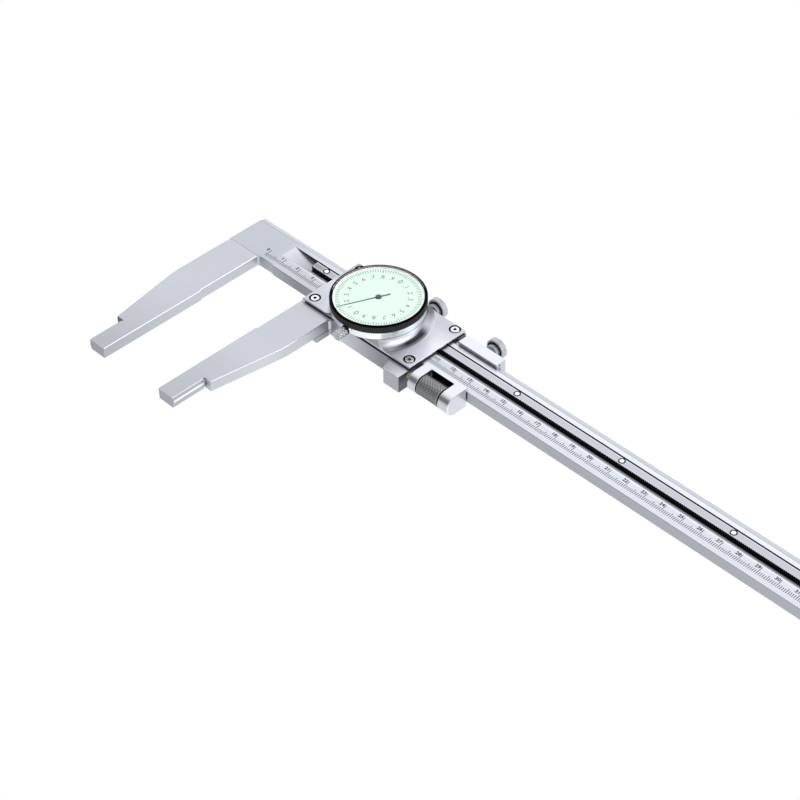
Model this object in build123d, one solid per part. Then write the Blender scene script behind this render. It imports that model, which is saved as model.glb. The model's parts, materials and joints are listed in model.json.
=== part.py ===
from build123d import *
import math
import os

# Dial caliper with long jaws, a geared dial and a fine adjustment carriage.
# Origin: centreline of the beam, on its back face, at the fixed jaw's measuring face.
# +X runs along the beam, +Y away from the jaws, +Z out of the scale face. Millimetres.

# Clearances
running_gap = 0.05      # sliding and turning fits
free_gap = 0.3          # pieces that pass each other
seat_gap = 0.02         # pieces seated in a pocket or hole
cut_past = 1.0          # how far a cut or a joined block runs past its edge

# Beam and fixed jaw
reading = 37.14         # distance between the measuring faces as drawn
beam_width = 21.9
beam_thickness = 5.8
tail_end = 620.0        # from the fixed measuring face to the far end of the beam
ledge_width = 2.47
ledge_drop = 0.6
beam_relief = 0.7       # step in the beam's near edge beside the fixed jaw
beam_relief_length = 9.8
beam_edge_chamfer = 0.25

# Jaws
jaw_reach = 92.0        # beyond the beam's near edge
jaw_root_width = 19.6
nib_width = 10.0
nib_bulge = 0.65        # of the nib's back, between its upper and lower edges
nib_length = 18.6
shoulder_width = 13.3
jaw_taper = 9.3         # degrees
jaw_bend_radius = 60.0
face_relief = 0.6       # how far the measuring face stands proud of the jaw's root
measuring_length = 56.85
root_fillet = 1.3
nib_undercut = 0.5
nib_undercut_length = 0.9
jaw_chamfer = 0.3

# Groove and rack
groove_near = -2.4
groove_far = 6.1
groove_depth = 2.85
ramp_start = 7.15
ramp_end = 22.5
ramp_sag = 0.37          # how far the ramp's middle lies below its chord
rack_start_gap = 0.3     # from the ramp's foot to the rack
rack_far_gap = 0.45      # between the rack's back and the groove's far wall
rack_pitch = 1.0
rack_pitch_line = 1.54
rack_tooth_depth = 0.5
rack_below_beam = 0.05
rack_stop_gap = 15.0     # from the rack to the end stop
groove_end_gap = 3.0
rack_pin_radius = 1.5
rack_pin_inset = 7.9     # from the rack's start to its first pin
rack_pin_spacing = 60.0
rack_pin_sink = 1.4
rack_pin_row = 2.11      # from the pitch line to the pins
rack_pin_ring = 0.22     # counterbore round each pin's head
rack_pin_ring_depth = 0.5

# End stop at the tail
stop_tail_gap = 5.0      # from the end stop to the beam's end
stop_length = 10.0
stop_height = 2.2
stop_screw_spread = 7.2
stop_screw_radius = 1.25
stop_screw_depth = 3.0

# Slider
slider_length = 69.26
slider_near = -18.99
slider_far = 16.85
slider_floor = 3.0      # how far the slider reaches below the beam
thick_root_near = -27.5
thick_root_slope = 1.4
gib_thickness = 1.0
gib_margin = 2.5
gib_foot = 0.4
gib_screw_radius = 1.5
gib_screw_inset = 12.0
gib_slot_width = 0.5

# Lug of the fine adjustment
lug_front = -25.05
lug_back_length = 12.6
lug_front_length = 9.5
lug_inset = 0.3

# Cover plate and skirt
plate_thickness = 1.75
plate_start_inset = 0.7
plate_end_inset = 0.06
plate_near = -18.55
plate_rebate_height = 1.0
plate_rebate_depth = 0.8
plate_screw_end_inset = 4.0
plate_screw_near = -14.55
plate_screw_far = 14.05
plate_screw_radius = 1.0
plate_screw_length = 5.5
plate_head_radius = 2.1
plate_head_height = 1.2
counterbore_radius = 2.5
socket_across = 1.5
socket_depth = 0.8

# Dial stack
dial_inset = 35.06       # from the slider's start to the dial's centre
dial_y = -3.75
skirt_radius = 21.0
skirt_flare = 4.6
skirt_straight = 0.3    # above the flare
skirt_wall = 1.4
case_ring_radius = 21.5
case_ring_height = 3.9
case_ring_wall = 1.5
case_floor = 0.8
case_floor_opening = 13.0
bezel_radius = 22.0
bezel_height = 4.0
bezel_flutes = 144
bezel_flute_depth = 0.32
bezel_land_share = 0.56 # of the pitch, at the top of each ridge
bezel_rim_height = 0.45
bezel_rim_width = 0.95
bezel_spigot_depth = 3.0
bezel_spigot_wall = 1.4
bezel_lip_height = 1.75
face_thickness = 0.5
crystal_thickness = 0.5
crystal_sink = 0.15
crystal_ledge = 0.2
face_ring_wall = 0.3
pointer_above_face = 0.55
pointer_thickness = 0.16
pointer_reach = 19.8
pointer_tail = 5.6
pointer_root_width = 0.62
pointer_tip_width = 0.16
pointer_boss_radius = 1.3
pointer_boss_height = 0.7
divisions_per_turn = 100
division = 0.02

# Movement
arbor_offset_x = 8.8     # from the dial's centre to the rack arbor
arbor_offset_y = 3.7
pinion_teeth = 10
wheel_teeth = 100
centre_teeth = 20
pinion_addendum = 0.17
pinion_dedendum = 0.37
pinion_tooth_width = 0.3
wheel_addendum = 0.11
wheel_dedendum = 0.14
centre_addendum = 0.1
centre_dedendum = 0.17
centre_tooth_width = 0.16
tooth_root_share = 1.4  # of a tooth's width on its pitch line
tooth_tip_share = 0.3
pinion_floor_gap = 0.5
pinion_length = 2.0
arbor_radius = 0.8
pivot_radius = 0.5
movement_plate_radius = 16.0
movement_plate_thickness = 1.0
wheel_lift = 0.4        # from the movement plate to the drive wheel
wheel_thickness = 0.6
spring_thickness = 0.3
spring_radius = 4.2
spring_wire = 0.35
spring_opening = 50.0
wheel_layer_gap = 0.05
bridge_lift = 2.6       # from the movement plate to the bridge
bridge_thickness = 0.9
bridge_end_radius = 2.6
pillar_radius = 1.3
pillar_reach = 6.12     # from the dial's centre to the back pillar
pillar_gap = 1.0        # between the wheel and the side pillars
bush_radius = 1.3
bridge_screw_radius = 0.6
bridge_screw_head = 1.1
bridge_screw_head_height = 0.5
bridge_screw_foot = 0.4 # solid part of a pillar below its screw

# Fine adjustment
adjust_axis_y = -18.25
adjust_screw_radius = 2.0
adjust_screw_hold = 9.0  # length held inside the slider
adjust_screw_past_window = 1.2
lug_pin_radius = 0.75
lug_pin_offset = 1.0     # from the screw's axis to the pin's
nut_radius = 5.0
nut_length = 12.5
nut_chamfer = 0.4
nut_rim_length = 0.8
nut_rim_step = 0.12
washer_thickness = 0.6
nut_washer_gap = 0.4      # running gap between the nut and its washer
washer_radius = 4.3

# Carriage
carriage_gap = 3.3       # from the slider to the carriage
left_cheek_length = 4.65
right_cheek_length = 5.7
carriage_floor = 2.2
cheek_round = 5.1
nut_play = 0.35
window_wall = 1.25
carriage_wall_gap = 0.5
lip_overlap = 0.5
rail_lead = 0.4          # how far the rail starts before the cheeks
rail_setback = 1.5       # how far it ends before them
rail_near = 9.2
rail_far = 14.95
rail_rise = 1.75        # above the beam's scale face
rail_hole_radius = 0.5
rail_hole_offset = 0.8   # from the rail's middle towards the beam
rail_hole_rise = 1.2     # above the ledge
rail_hole_depth = 6.0
bore_past_screw = 3.0    # how far the cheek's bore runs past the screw's end
carriage_gib_thickness = 0.8
carriage_gib_margin = 1.0
carriage_gib_pin_radius = 0.5
carriage_gib_pin_inset = 7.0  # from the clamping screw's axis

# Clamping screws
clamp_shaft_radius = 1.9
clamp_boss_radius = 3.3
clamp_boss_length = 1.9
clamp_head_radius = 5.0
clamp_head_length = 3.0
clamp_ring_outer = 4.2
clamp_ring_depth = 0.7
slider_clamp_inset = 45.56
slider_clamp_neck = 4.85
carriage_clamp_inset = 11.3
carriage_clamp_neck = 5.05
bezel_screw_radius = 0.9
bezel_screw_head_radius = 2.4
bezel_screw_head_length = 5.0
bezel_screw_azimuth = 4.5  # degrees from the dial's -Y side towards +X
bezel_boss_radius = 2.25
bezel_boss_end = 22.4   # from the dial's centre
bezel_boss_overlap = 0.9  # how far the boss reaches into the ring's wall
bezel_screw_neck = 0.7

# Levels and edges worked out from the sizes above
beam_half = beam_width / 2
beam_middle = beam_thickness / 2
jaw_tip = -beam_half - jaw_reach
shoulder_y = jaw_tip + nib_length
nib_flat_width = nib_width - nib_bulge
ledge_level = beam_thickness - ledge_drop
groove_floor = beam_thickness - groove_depth
rack_top = beam_thickness - rack_below_beam
rack_bottom = groove_floor + seat_gap
rack_back = groove_far - rack_far_gap
rack_start = ramp_end + rack_start_gap
slider_start = reading + face_relief
slider_end = slider_start + slider_length
channel_top = beam_thickness + running_gap
channel_near = -beam_half - running_gap
channel_far = beam_half + 2 * running_gap + gib_thickness
dial_x = slider_start + dial_inset
arbor_x = dial_x + arbor_offset_x
arbor_y = dial_y + arbor_offset_y
stop_end = tail_end - stop_tail_gap
stop_start = stop_end - stop_length
rack_end = stop_start - rack_stop_gap
rack_pin_first = rack_start + rack_pin_inset
rack_pin_count = int((rack_end - rack_pin_first) / rack_pin_spacing) + 1
carriage_start = slider_end + carriage_gap
window_start = carriage_start + left_cheek_length
window_end = window_start + nut_play + nut_length + nut_washer_gap + washer_thickness
carriage_end = window_end + right_cheek_length
rail_start = carriage_start - rail_lead
rail_end = carriage_end - rail_setback
adjust_screw_start = slider_end - adjust_screw_hold
adjust_screw_end = window_end + adjust_screw_past_window
slider_clamp_x = slider_start + slider_clamp_inset
carriage_clamp_x = carriage_start + carriage_clamp_inset
carriage_gib_pin_x = carriage_clamp_x - carriage_gib_pin_inset
plate_start = slider_start + plate_start_inset
plate_end = slider_end - plate_end_inset
plate_top = channel_top + plate_thickness
skirt_top = plate_top + skirt_flare + skirt_straight
ring_top = skirt_top + case_ring_height
bezel_top = ring_top + bezel_height
ring_bore = case_ring_radius - case_ring_wall
spigot_radius = ring_bore - running_gap
spigot_bore = spigot_radius - bezel_spigot_wall
crystal_radius = bezel_radius - bezel_rim_width
face_radius = crystal_radius - crystal_ledge
face_bottom = ring_top + bezel_lip_height
face_level = face_bottom + face_thickness
crystal_bottom = bezel_top - crystal_sink - crystal_thickness
pointer_level = face_level + pointer_above_face
movement_floor = plate_top
movement_top = movement_floor + movement_plate_thickness
wheel_level = movement_top + wheel_lift
spring_level = wheel_level + wheel_thickness + wheel_layer_gap
takeup_level = spring_level + spring_thickness + wheel_layer_gap
bridge_level = movement_top + bridge_lift
bridge_top = bridge_level + bridge_thickness
pinion_pitch_radius = pinion_teeth * rack_pitch / (2 * math.pi)
centre_distance = math.hypot(arbor_x - dial_x, arbor_y - dial_y)
wheel_pitch_radius = centre_distance * wheel_teeth / (wheel_teeth + centre_teeth)
centre_pitch_radius = centre_distance - wheel_pitch_radius
centres_angle = math.degrees(math.atan2(arbor_y - dial_y, arbor_x - dial_x))
lug_end = slider_end - lug_inset
lug_pin_x = lug_end - lug_front_length / 2
lug_pin_y = adjust_axis_y - lug_pin_offset
cheek_bore = adjust_screw_radius + free_gap
gib_start = slider_start + gib_margin
gib_end = slider_end - gib_margin
pointer_turns = reading / (division * divisions_per_turn)


def box(x1, x2, y1, y2, z1, z2):
    """Box between two corners."""
    centre = Pos((x1 + x2) / 2, (y1 + y2) / 2, (z1 + z2) / 2)
    return centre * Box(x2 - x1, y2 - y1, z2 - z1)


def rod_z(x, y, radius, z1, z2):
    """Upright cylinder."""
    return Pos(x, y, (z1 + z2) / 2) * Cylinder(radius, z2 - z1)


def rod_y(x, z, radius, y1, y2):
    """Cylinder along Y."""
    return Pos(x, (y1 + y2) / 2, z) * Rot(90, 0, 0) * Cylinder(radius, y2 - y1)


def rod_x(y, z, radius, x1, x2):
    """Cylinder along X."""
    return Pos((x1 + x2) / 2, y, z) * Rot(0, 90, 0) * Cylinder(radius, x2 - x1)


def plan(points, z1, z2):
    """Prism from an outline seen from above."""
    face = make_face(Polyline(*points, close=True))
    return extrude(Pos(0, 0, z1) * face, z2 - z1)


def section_x(points, x1, x2):
    """Prism along X from an outline of (y, z) points."""
    wire = Polyline(*[(0, y, z) for y, z in points], close=True)
    return Pos(x1, 0, 0) * extrude(make_face(wire), x2 - x1, dir=(1, 0, 0))


def turned(points, x, y):
    """Revolved piece from (radius, height) points, on an upright axis."""
    wire = Polyline(*[(r, 0, z) for r, z in points], close=True)
    return Pos(x, y, 0) * revolve(make_face(wire), Axis.Z, 360)


def jaw_blank(z1, z2):
    """Jaw with its measuring face at x = 0 and its back towards -X, without the nib."""
    back = -jaw_root_width
    taper_run = (jaw_root_width - shoulder_width) / math.tan(math.radians(jaw_taper))
    bend = (back, shoulder_y + taper_run)
    relief_start = jaw_tip + measuring_length
    outline = [
        (0, shoulder_y),
        (0, relief_start),
        (-face_relief, relief_start),
        (-face_relief, -beam_half),
        (back, -beam_half),
        bend,
        (-shoulder_width, shoulder_y),
    ]
    blank = plan(outline, z1, z2)
    corners = blank.edges().filter_by(Axis.Z)
    bend_edge = corners.sort_by_distance(Vector(bend[0], bend[1], (z1 + z2) / 2))[0]
    return fillet(bend_edge, jaw_bend_radius)


def nib(z1, z2):
    """Nib with a flat measuring face at x = 0 and a barrel-shaped back."""
    middle = (z1 + z2) / 2
    arc = ThreePointArc((-nib_flat_width, 0, z1), (-nib_width, 0, middle), (-nib_flat_width, 0, z2))
    flats = Polyline((-nib_flat_width, 0, z2), (0, 0, z2), (0, 0, z1), (-nib_flat_width, 0, z1))
    face = make_face([arc, flats])
    solid = Pos(0, jaw_tip, 0) * extrude(face, nib_length, dir=(0, 1, 0))
    undercut_near = shoulder_y - nib_undercut_length
    groove = box(-nib_width, -nib_flat_width + nib_undercut, undercut_near, shoulder_y, z1, z2)
    return solid - groove


def jaw(z1, z2):
    """Whole jaw in the fixed jaw's place, with its long edges and its tip's corner broken."""
    solid = jaw_blank(z1, z2) + nib(z1, z2)
    rims = solid.faces().filter_by(Axis.Z).edges()
    long_rims = rims.filter_by(lambda edge: edge.length > nib_width)
    chosen = long_rims.filter_by(lambda edge: shoulder_y < edge.center().Y < -beam_half - jaw_chamfer)
    corner = Vector(0, jaw_tip, (z1 + z2) / 2)
    tip_edge = solid.edges().filter_by(Axis.Z).sort_by_distance(corner)[0]
    return chamfer(list(chosen) + [tip_edge], jaw_chamfer)


def groove_section():
    """Section of the rack groove, with its curved run-out."""
    entry = Vector(ramp_start, 0, beam_thickness)
    foot = Vector(ramp_end, 0, groove_floor)
    middle = (entry + foot) / 2 - Vector(0, 0, ramp_sag)
    groove_end = rack_end + groove_end_gap
    rest = Polyline(foot, (groove_end, 0, groove_floor), (groove_end, 0, beam_thickness), entry)
    return make_face([ThreePointArc(entry, middle, foot), rest])


def beam():
    """Beam, fixed jaw, ledge, rack groove with its ramp, and holes for pins and screws."""
    bar = box(-jaw_root_width, tail_end, -beam_half, beam_half, 0, beam_thickness)
    long_edges = bar.edges().filter_by(Axis.X)
    bar = chamfer(long_edges, beam_edge_chamfer)
    relief = plan([
        (-face_relief, -beam_half - cut_past),
        (beam_relief_length, -beam_half - cut_past),
        (beam_relief_length, -beam_half),
        (beam_relief_length - beam_relief, -beam_half + beam_relief),
        (-face_relief, -beam_half + beam_relief),
    ], 0, beam_thickness)
    blank = bar - relief + jaw(0, beam_thickness)
    corner = Vector(-face_relief, -beam_half + beam_relief, beam_middle)
    inner = blank.edges().filter_by(Axis.Z).sort_by_distance(corner)[0]
    blank = fillet(inner, root_fillet)
    ledge = box(-jaw_root_width, tail_end, beam_half - ledge_width, beam_half, ledge_level, beam_thickness)
    groove = Pos(0, groove_near, 0) * extrude(groove_section(), groove_far - groove_near, dir=(0, 1, 0))
    blank = blank - ledge - groove
    for x, y in rack_pin_places():
        blank -= rod_z(x, y, rack_pin_radius + seat_gap, groove_floor - rack_pin_sink, groove_floor)
    for x, y in stop_screw_places():
        blank -= rod_z(x, y, stop_screw_radius + seat_gap, beam_thickness - stop_screw_depth, beam_thickness)
    return blank


def rack_pin_places():
    """Centres of the rack pins, in a row behind the teeth."""
    y = rack_pitch_line + rack_pin_row
    return [(rack_pin_first + rack_pin_spacing * k, y) for k in range(rack_pin_count)]


def stop_screw_places():
    """Centres of the end stop's screws."""
    x = stop_start + stop_length / 2
    return [(x, side * stop_screw_spread) for side in (-1, 1)]


def rack():
    """Rack strip: teeth towards -Y, a tooth space in line with the pinion."""
    tip = rack_pitch_line - rack_tooth_depth / 2
    root = rack_pitch_line + rack_tooth_depth / 2
    first = math.ceil((rack_start - arbor_x) / rack_pitch)
    last = math.floor((rack_end - arbor_x) / rack_pitch)
    outline = [(rack_start, rack_back), (rack_start, root)]
    for k in range(first, last):
        space = arbor_x + k * rack_pitch
        outline.append((space, root))
        outline.append((space + rack_pitch / 2, tip))
    outline.append((arbor_x + last * rack_pitch, root))
    outline.append((rack_end, root))
    outline.append((rack_end, rack_back))
    face = make_face(Polyline(*outline, close=True))
    for x, y in rack_pin_places():
        face -= Pos(x, y) * Circle(rack_pin_radius + seat_gap)
    solid = extrude(Pos(0, 0, rack_bottom) * face, rack_top - rack_bottom)
    for x, y in rack_pin_places():
        solid -= rod_z(x, y, rack_pin_radius + rack_pin_ring, rack_top - rack_pin_ring_depth, rack_top)
    return solid


def rack_pins():
    """Dowels that hold the rack, flush with its top."""
    foot = groove_floor - rack_pin_sink + seat_gap
    return [rod_z(x, y, rack_pin_radius, foot, rack_top) for x, y in rack_pin_places()]


def end_stop():
    """Block across the tail that the carriage stops against."""
    block = box(stop_start, stop_start + stop_length, -beam_half, beam_half, beam_thickness,
                beam_thickness + stop_height)
    block = chamfer(block.faces().sort_by(Axis.Z)[-1].edges(), beam_edge_chamfer)
    ledge_fill = box(stop_start, stop_start + stop_length, beam_half - ledge_width, beam_half,
                     ledge_level, beam_thickness)
    block += ledge_fill
    for x, y in stop_screw_places():
        block -= rod_z(x, y, stop_screw_radius + seat_gap, ledge_level, beam_thickness + stop_height)
        sink = beam_thickness + stop_height - plate_head_height
        block -= rod_z(x, y, counterbore_radius, sink, beam_thickness + stop_height)
    return block


def socket_screw(x, y, top, shaft_radius, shaft_length):
    """Cap screw with a hexagon socket; its head's top lies at the given height."""
    under = top - plate_head_height
    head = rod_z(x, y, plate_head_radius, under, top)
    head = chamfer(head.edges().sort_by(Axis.Z)[-1], beam_edge_chamfer)
    hexagon = Pos(x, y, top - socket_depth) * RegularPolygon(socket_across / 2, 6, major_radius=False)
    head -= extrude(hexagon, socket_depth)
    return head + rod_z(x, y, shaft_radius, under - shaft_length, under)


def end_stop_screws():
    """Two screws of the end stop."""
    top = beam_thickness + stop_height
    length = stop_screw_depth + stop_height - plate_head_height - seat_gap
    return [socket_screw(x, y, top, stop_screw_radius, length) for x, y in stop_screw_places()]


def plate_screw_places():
    """Centres of the cover plate's screws."""
    columns = (plate_start + plate_screw_end_inset, plate_end - plate_screw_end_inset)
    return [(x, y) for x in columns for y in (plate_screw_near, plate_screw_far)]


def gib_screw_places():
    """Positions along X of the gib's set screws."""
    return [slider_start + gib_screw_inset, slider_end - gib_screw_inset]


def lug():
    """Block that holds the fine adjustment screw, with one slanted side."""
    return plan([
        (lug_end - lug_back_length, slider_near + cut_past),
        (lug_end - lug_back_length, slider_near),
        (lug_end - lug_front_length, lug_front),
        (lug_end, lug_front),
        (lug_end, slider_near + cut_past),
    ], -slider_floor, beam_thickness)


def thick_root():
    """Thicker foot of the moving jaw below the beam's back face, ending in a small slope."""
    return section_x([
        (slider_near, 0),
        (thick_root_near - thick_root_slope, 0),
        (thick_root_near, -slider_floor),
        (slider_near, -slider_floor),
    ], slider_start, reading + jaw_root_width)


def slider_body():
    """Slider, moving jaw and lug in one piece, with a channel that runs on the beam."""
    block = box(slider_start, slider_end, slider_near, slider_far, -slider_floor, channel_top)
    moving = Pos(reading, 0, 0) * mirror(jaw(0, beam_thickness), Plane.YZ)
    jaw_only = moving & box(reading, reading + jaw_root_width, jaw_tip, slider_near, 0, beam_thickness)
    solid = block + jaw_only + thick_root()
    corner = Vector(reading + jaw_root_width, slider_near, beam_middle)
    inner = solid.edges().filter_by(Axis.Z).sort_by_distance(corner)[0]
    solid = fillet(inner, root_fillet)
    solid += lug()
    channel = box(slider_start, slider_end, channel_near, channel_far, -running_gap, channel_top)
    solid -= channel
    for x, y in plate_screw_places():
        foot = plate_top - plate_head_height - plate_screw_length
        solid -= rod_z(x, y, plate_screw_radius + seat_gap, foot, channel_top)
    for x in gib_screw_places():
        solid -= rod_y(x, beam_middle, gib_screw_radius + seat_gap, channel_far, slider_far)
    solid -= rod_y(slider_clamp_x, beam_middle, clamp_shaft_radius + running_gap, channel_far, slider_far)
    solid -= rod_x(adjust_axis_y, beam_middle, adjust_screw_radius + seat_gap, adjust_screw_start, slider_end)
    return solid - rod_z(lug_pin_x, lug_pin_y, lug_pin_radius + seat_gap, -slider_floor, beam_middle)


def slider_gib():
    """Strip between the slider's far wall and the beam's edge."""
    near = beam_half + running_gap
    return box(gib_start, gib_end, near, near + gib_thickness, gib_foot, ledge_level)


def gib_screws():
    """Set screws that press the gib, slotted at their outer ends."""
    near = beam_half + running_gap + gib_thickness + seat_gap
    slot_far = slider_far - free_gap
    screws = []
    for x in gib_screw_places():
        screw = rod_y(x, beam_middle, gib_screw_radius, near, slot_far)
        slot = box(x - gib_screw_radius, x + gib_screw_radius, slot_far - socket_depth, slot_far,
                   beam_middle - gib_slot_width / 2, beam_middle + gib_slot_width / 2)
        screws.append(screw - slot)
    return screws


def lug_pin():
    """Cross pin in the lug that keeps the fine adjustment screw from turning."""
    return rod_z(lug_pin_x, lug_pin_y, lug_pin_radius, -slider_floor, beam_middle - seat_gap)


def fine_adjust_screw():
    """Threaded rod of the fine adjustment, fixed in the lug, notched for its pin."""
    rod = rod_x(adjust_axis_y, beam_middle, adjust_screw_radius, adjust_screw_start, adjust_screw_end)
    rod = chamfer(rod.edges().sort_by(Axis.X)[-1], beam_edge_chamfer)
    return rod - rod_z(lug_pin_x, lug_pin_y, lug_pin_radius + seat_gap, -slider_floor, beam_middle)


def skirt_profile():
    """Half section of the flared skirt as a face, from the plate's top to the case ring."""
    foot = skirt_radius + skirt_flare
    knee = (skirt_radius, 0, plate_top + skirt_flare)
    bend = skirt_flare * (1 - math.sqrt(0.5))
    middle = (skirt_radius + bend, 0, plate_top + bend)
    arc = ThreePointArc((foot, 0, plate_top), middle, knee)
    base = channel_top + plate_rebate_height
    rest = Polyline(knee, (skirt_radius, 0, skirt_top), (0, 0, skirt_top), (0, 0, base), (foot, 0, base),
                    (foot, 0, plate_top))
    return make_face([arc, rest])


def movement_room(grow):
    """Room for the movement inside the skirt, cut square where the plate's long edges pass."""
    inner = skirt_radius - skirt_wall - grow
    room = rod_z(dial_x, dial_y, inner, plate_top, skirt_top)
    wall = skirt_wall + grow
    return room & box(plate_start, plate_end, plate_near + wall, slider_far - wall, plate_top, skirt_top)


def cover_plate():
    """Cover plate that grows into the flared skirt of the dial, rebated below its near edge and ends."""
    plate = box(plate_start, plate_end, plate_near, slider_far, channel_top, plate_top)
    plate = chamfer(plate.faces().sort_by(Axis.Z)[-1].edges(), beam_edge_chamfer)
    skirt = Pos(dial_x, dial_y, 0) * revolve(skirt_profile(), Axis.Z, 360)
    skirt = skirt & box(plate_start, plate_end, plate_near, slider_far, channel_top, skirt_top)
    solid = plate + skirt
    rebate_top = channel_top + plate_rebate_height
    outer = box(plate_start, plate_end, plate_near, slider_far, channel_top, rebate_top)
    inner = box(plate_start + plate_rebate_depth, plate_end - plate_rebate_depth,
                plate_near + plate_rebate_depth, slider_far, channel_top, rebate_top)
    solid = solid - (outer - inner) - movement_room(0)
    for x, y in plate_screw_places():
        solid -= rod_z(x, y, plate_screw_radius + seat_gap, channel_top, plate_top)
        solid -= rod_z(x, y, counterbore_radius, plate_top - plate_head_height, plate_top)
    hole_radius = pinion_pitch_radius + pinion_addendum + free_gap
    return solid - rod_z(arbor_x, arbor_y, hole_radius, channel_top, plate_top)


def plate_screws():
    """Four screws of the cover plate."""
    length = plate_screw_length - seat_gap
    return [socket_screw(x, y, plate_top, plate_screw_radius, length) for x, y in plate_screw_places()]


def case_ring():
    """Silver ring that carries the bezel, with a boss for the bezel's screw."""
    ring = turned([
        (case_floor_opening, skirt_top),
        (case_ring_radius, skirt_top),
        (case_ring_radius, ring_top),
        (ring_bore, ring_top),
        (ring_bore, skirt_top + case_floor),
        (case_floor_opening, skirt_top + case_floor),
    ], dial_x, dial_y)
    level = bezel_screw_level()
    boss_face = dial_y - bezel_boss_end
    boss = rod_y(dial_x, level, bezel_boss_radius, boss_face, dial_y - case_ring_radius + bezel_boss_overlap)
    below_bezel = box(dial_x - bezel_radius, dial_x + bezel_radius, boss_face, dial_y, plate_top,
                      ring_top - running_gap)
    hole = rod_y(dial_x, level, bezel_screw_radius + running_gap, boss_face, dial_y - ring_bore + running_gap)
    return ring + around_dial(boss & below_bezel) - around_dial(hole)


def around_dial(shape):
    """Piece drawn on the dial's -Y side, turned to the bezel screw's place."""
    return shape.rotate(Axis((dial_x, dial_y, 0), (0, 0, 1)), bezel_screw_azimuth)


def bezel_screw_level():
    """Height of the bezel screw's axis: the middle of the case ring."""
    return skirt_top + case_ring_height / 2


def bezel():
    """Fluted bezel with a plain upper rim, a lip for the dial face and a spigot in the ring."""
    step = 2 * math.pi / bezel_flutes
    root = bezel_radius - bezel_flute_depth
    half = bezel_land_share / 2
    outline = []
    for k in range(bezel_flutes):
        for share, radius in ((-half, bezel_radius), (half, bezel_radius), (1 / 2, root)):
            angle = (k + share) * step
            outline.append((dial_x + radius * math.cos(angle), dial_y + radius * math.sin(angle)))
    band = plan(outline, ring_top, bezel_top - bezel_rim_height)
    rim = turned([
        (0, bezel_top - bezel_rim_height),
        (root, bezel_top - bezel_rim_height),
        (root, bezel_top - bezel_rim_height / 2),
        (root - bezel_rim_height / 2, bezel_top),
        (0, bezel_top),
    ], dial_x, dial_y)
    spigot = rod_z(dial_x, dial_y, spigot_radius, ring_top - bezel_spigot_depth, ring_top)
    solid = band + rim + spigot
    solid -= rod_z(dial_x, dial_y, spigot_bore, ring_top - bezel_spigot_depth, face_bottom)
    solid -= rod_z(dial_x, dial_y, face_radius + seat_gap, face_bottom, crystal_bottom)
    return solid - rod_z(dial_x, dial_y, crystal_radius + seat_gap, crystal_bottom, bezel_top)


def crystal():
    """Flat clear crystal."""
    return rod_z(dial_x, dial_y, crystal_radius, crystal_bottom, crystal_bottom + crystal_thickness)


def dial_face():
    """Dial face, a disc with a hole for the centre arbor."""
    disc = rod_z(dial_x, dial_y, face_radius, face_bottom, face_level)
    return disc - rod_z(dial_x, dial_y, pivot_radius + free_gap, face_bottom, face_level)


def face_ring():
    """Thin ring between the dial face and the crystal."""
    ring = rod_z(dial_x, dial_y, face_radius, face_level, crystal_bottom)
    return ring - rod_z(dial_x, dial_y, face_radius - face_ring_wall, face_level, crystal_bottom)


def toothed_outline(x, y, teeth, pitch_radius, addendum, dedendum, tooth_width, tooth_angle):
    """Outline of a small gear: each tooth tapers from its root to a narrow tip."""
    tip = pitch_radius + addendum
    root = pitch_radius - dedendum
    outline = []
    for k in range(teeth):
        middle = math.radians(tooth_angle) + 2 * math.pi * k / teeth
        for side, radius, share in ((-1, root, tooth_root_share), (-1, tip, tooth_tip_share),
                                    (1, tip, tooth_tip_share), (1, root, tooth_root_share)):
            angle = middle + side * tooth_width * share / 2 / radius
            outline.append((x + radius * math.cos(angle), y + radius * math.sin(angle)))
    return outline


def wheel(z1, hole_radius):
    """Hundred-tooth wheel with a tooth space towards the centre pinion, and crossings."""
    tip = wheel_pitch_radius + wheel_addendum
    root = wheel_pitch_radius - wheel_dedendum
    facing = math.radians(centres_angle + 180)
    outline = []
    for k in range(wheel_teeth):
        space = facing + 2 * math.pi * k / wheel_teeth
        for radius, angle in ((root, space), (tip, space + math.pi / wheel_teeth)):
            outline.append((arbor_x + radius * math.cos(angle), arbor_y + radius * math.sin(angle)))
    solid = plan(outline, z1, z1 + wheel_thickness)
    return solid - rod_z(arbor_x, arbor_y, hole_radius, z1, z1 + wheel_thickness)


def rack_arbor():
    """Arbor with the ten-tooth pinion that runs on the rack, a shoulder and a top pivot."""
    foot = groove_floor + pinion_floor_gap
    outline = toothed_outline(arbor_x, arbor_y, pinion_teeth, pinion_pitch_radius, pinion_addendum,
                              pinion_dedendum, pinion_tooth_width, 90)
    solid = plan(outline, foot, foot + pinion_length)
    solid += rod_z(arbor_x, arbor_y, arbor_radius, foot + pinion_length, bridge_level - wheel_layer_gap)
    return solid + rod_z(arbor_x, arbor_y, pivot_radius, bridge_level - wheel_layer_gap, bridge_top)


def drive_wheel():
    """Wheel fixed on the rack arbor."""
    return wheel(wheel_level, arbor_radius + seat_gap)


def takeup_wheel():
    """Sprung twin of the drive wheel that takes up the play in the teeth."""
    return wheel(takeup_level, arbor_radius + seat_gap)


def takeup_spring():
    """Flat open spring between the two wheels."""
    spring_top = spring_level + spring_thickness
    washer = rod_z(arbor_x, arbor_y, spring_radius, spring_level, spring_top)
    washer -= rod_z(arbor_x, arbor_y, spring_radius - spring_wire, spring_level, spring_top)
    half = math.radians(spring_opening / 2)
    reach = 2 * spring_radius
    gap = plan([
        (arbor_x, arbor_y),
        (arbor_x + reach * math.cos(half), arbor_y - reach * math.sin(half)),
        (arbor_x + reach * math.cos(half), arbor_y + reach * math.sin(half)),
    ], spring_level, spring_top)
    return washer - gap


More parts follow.
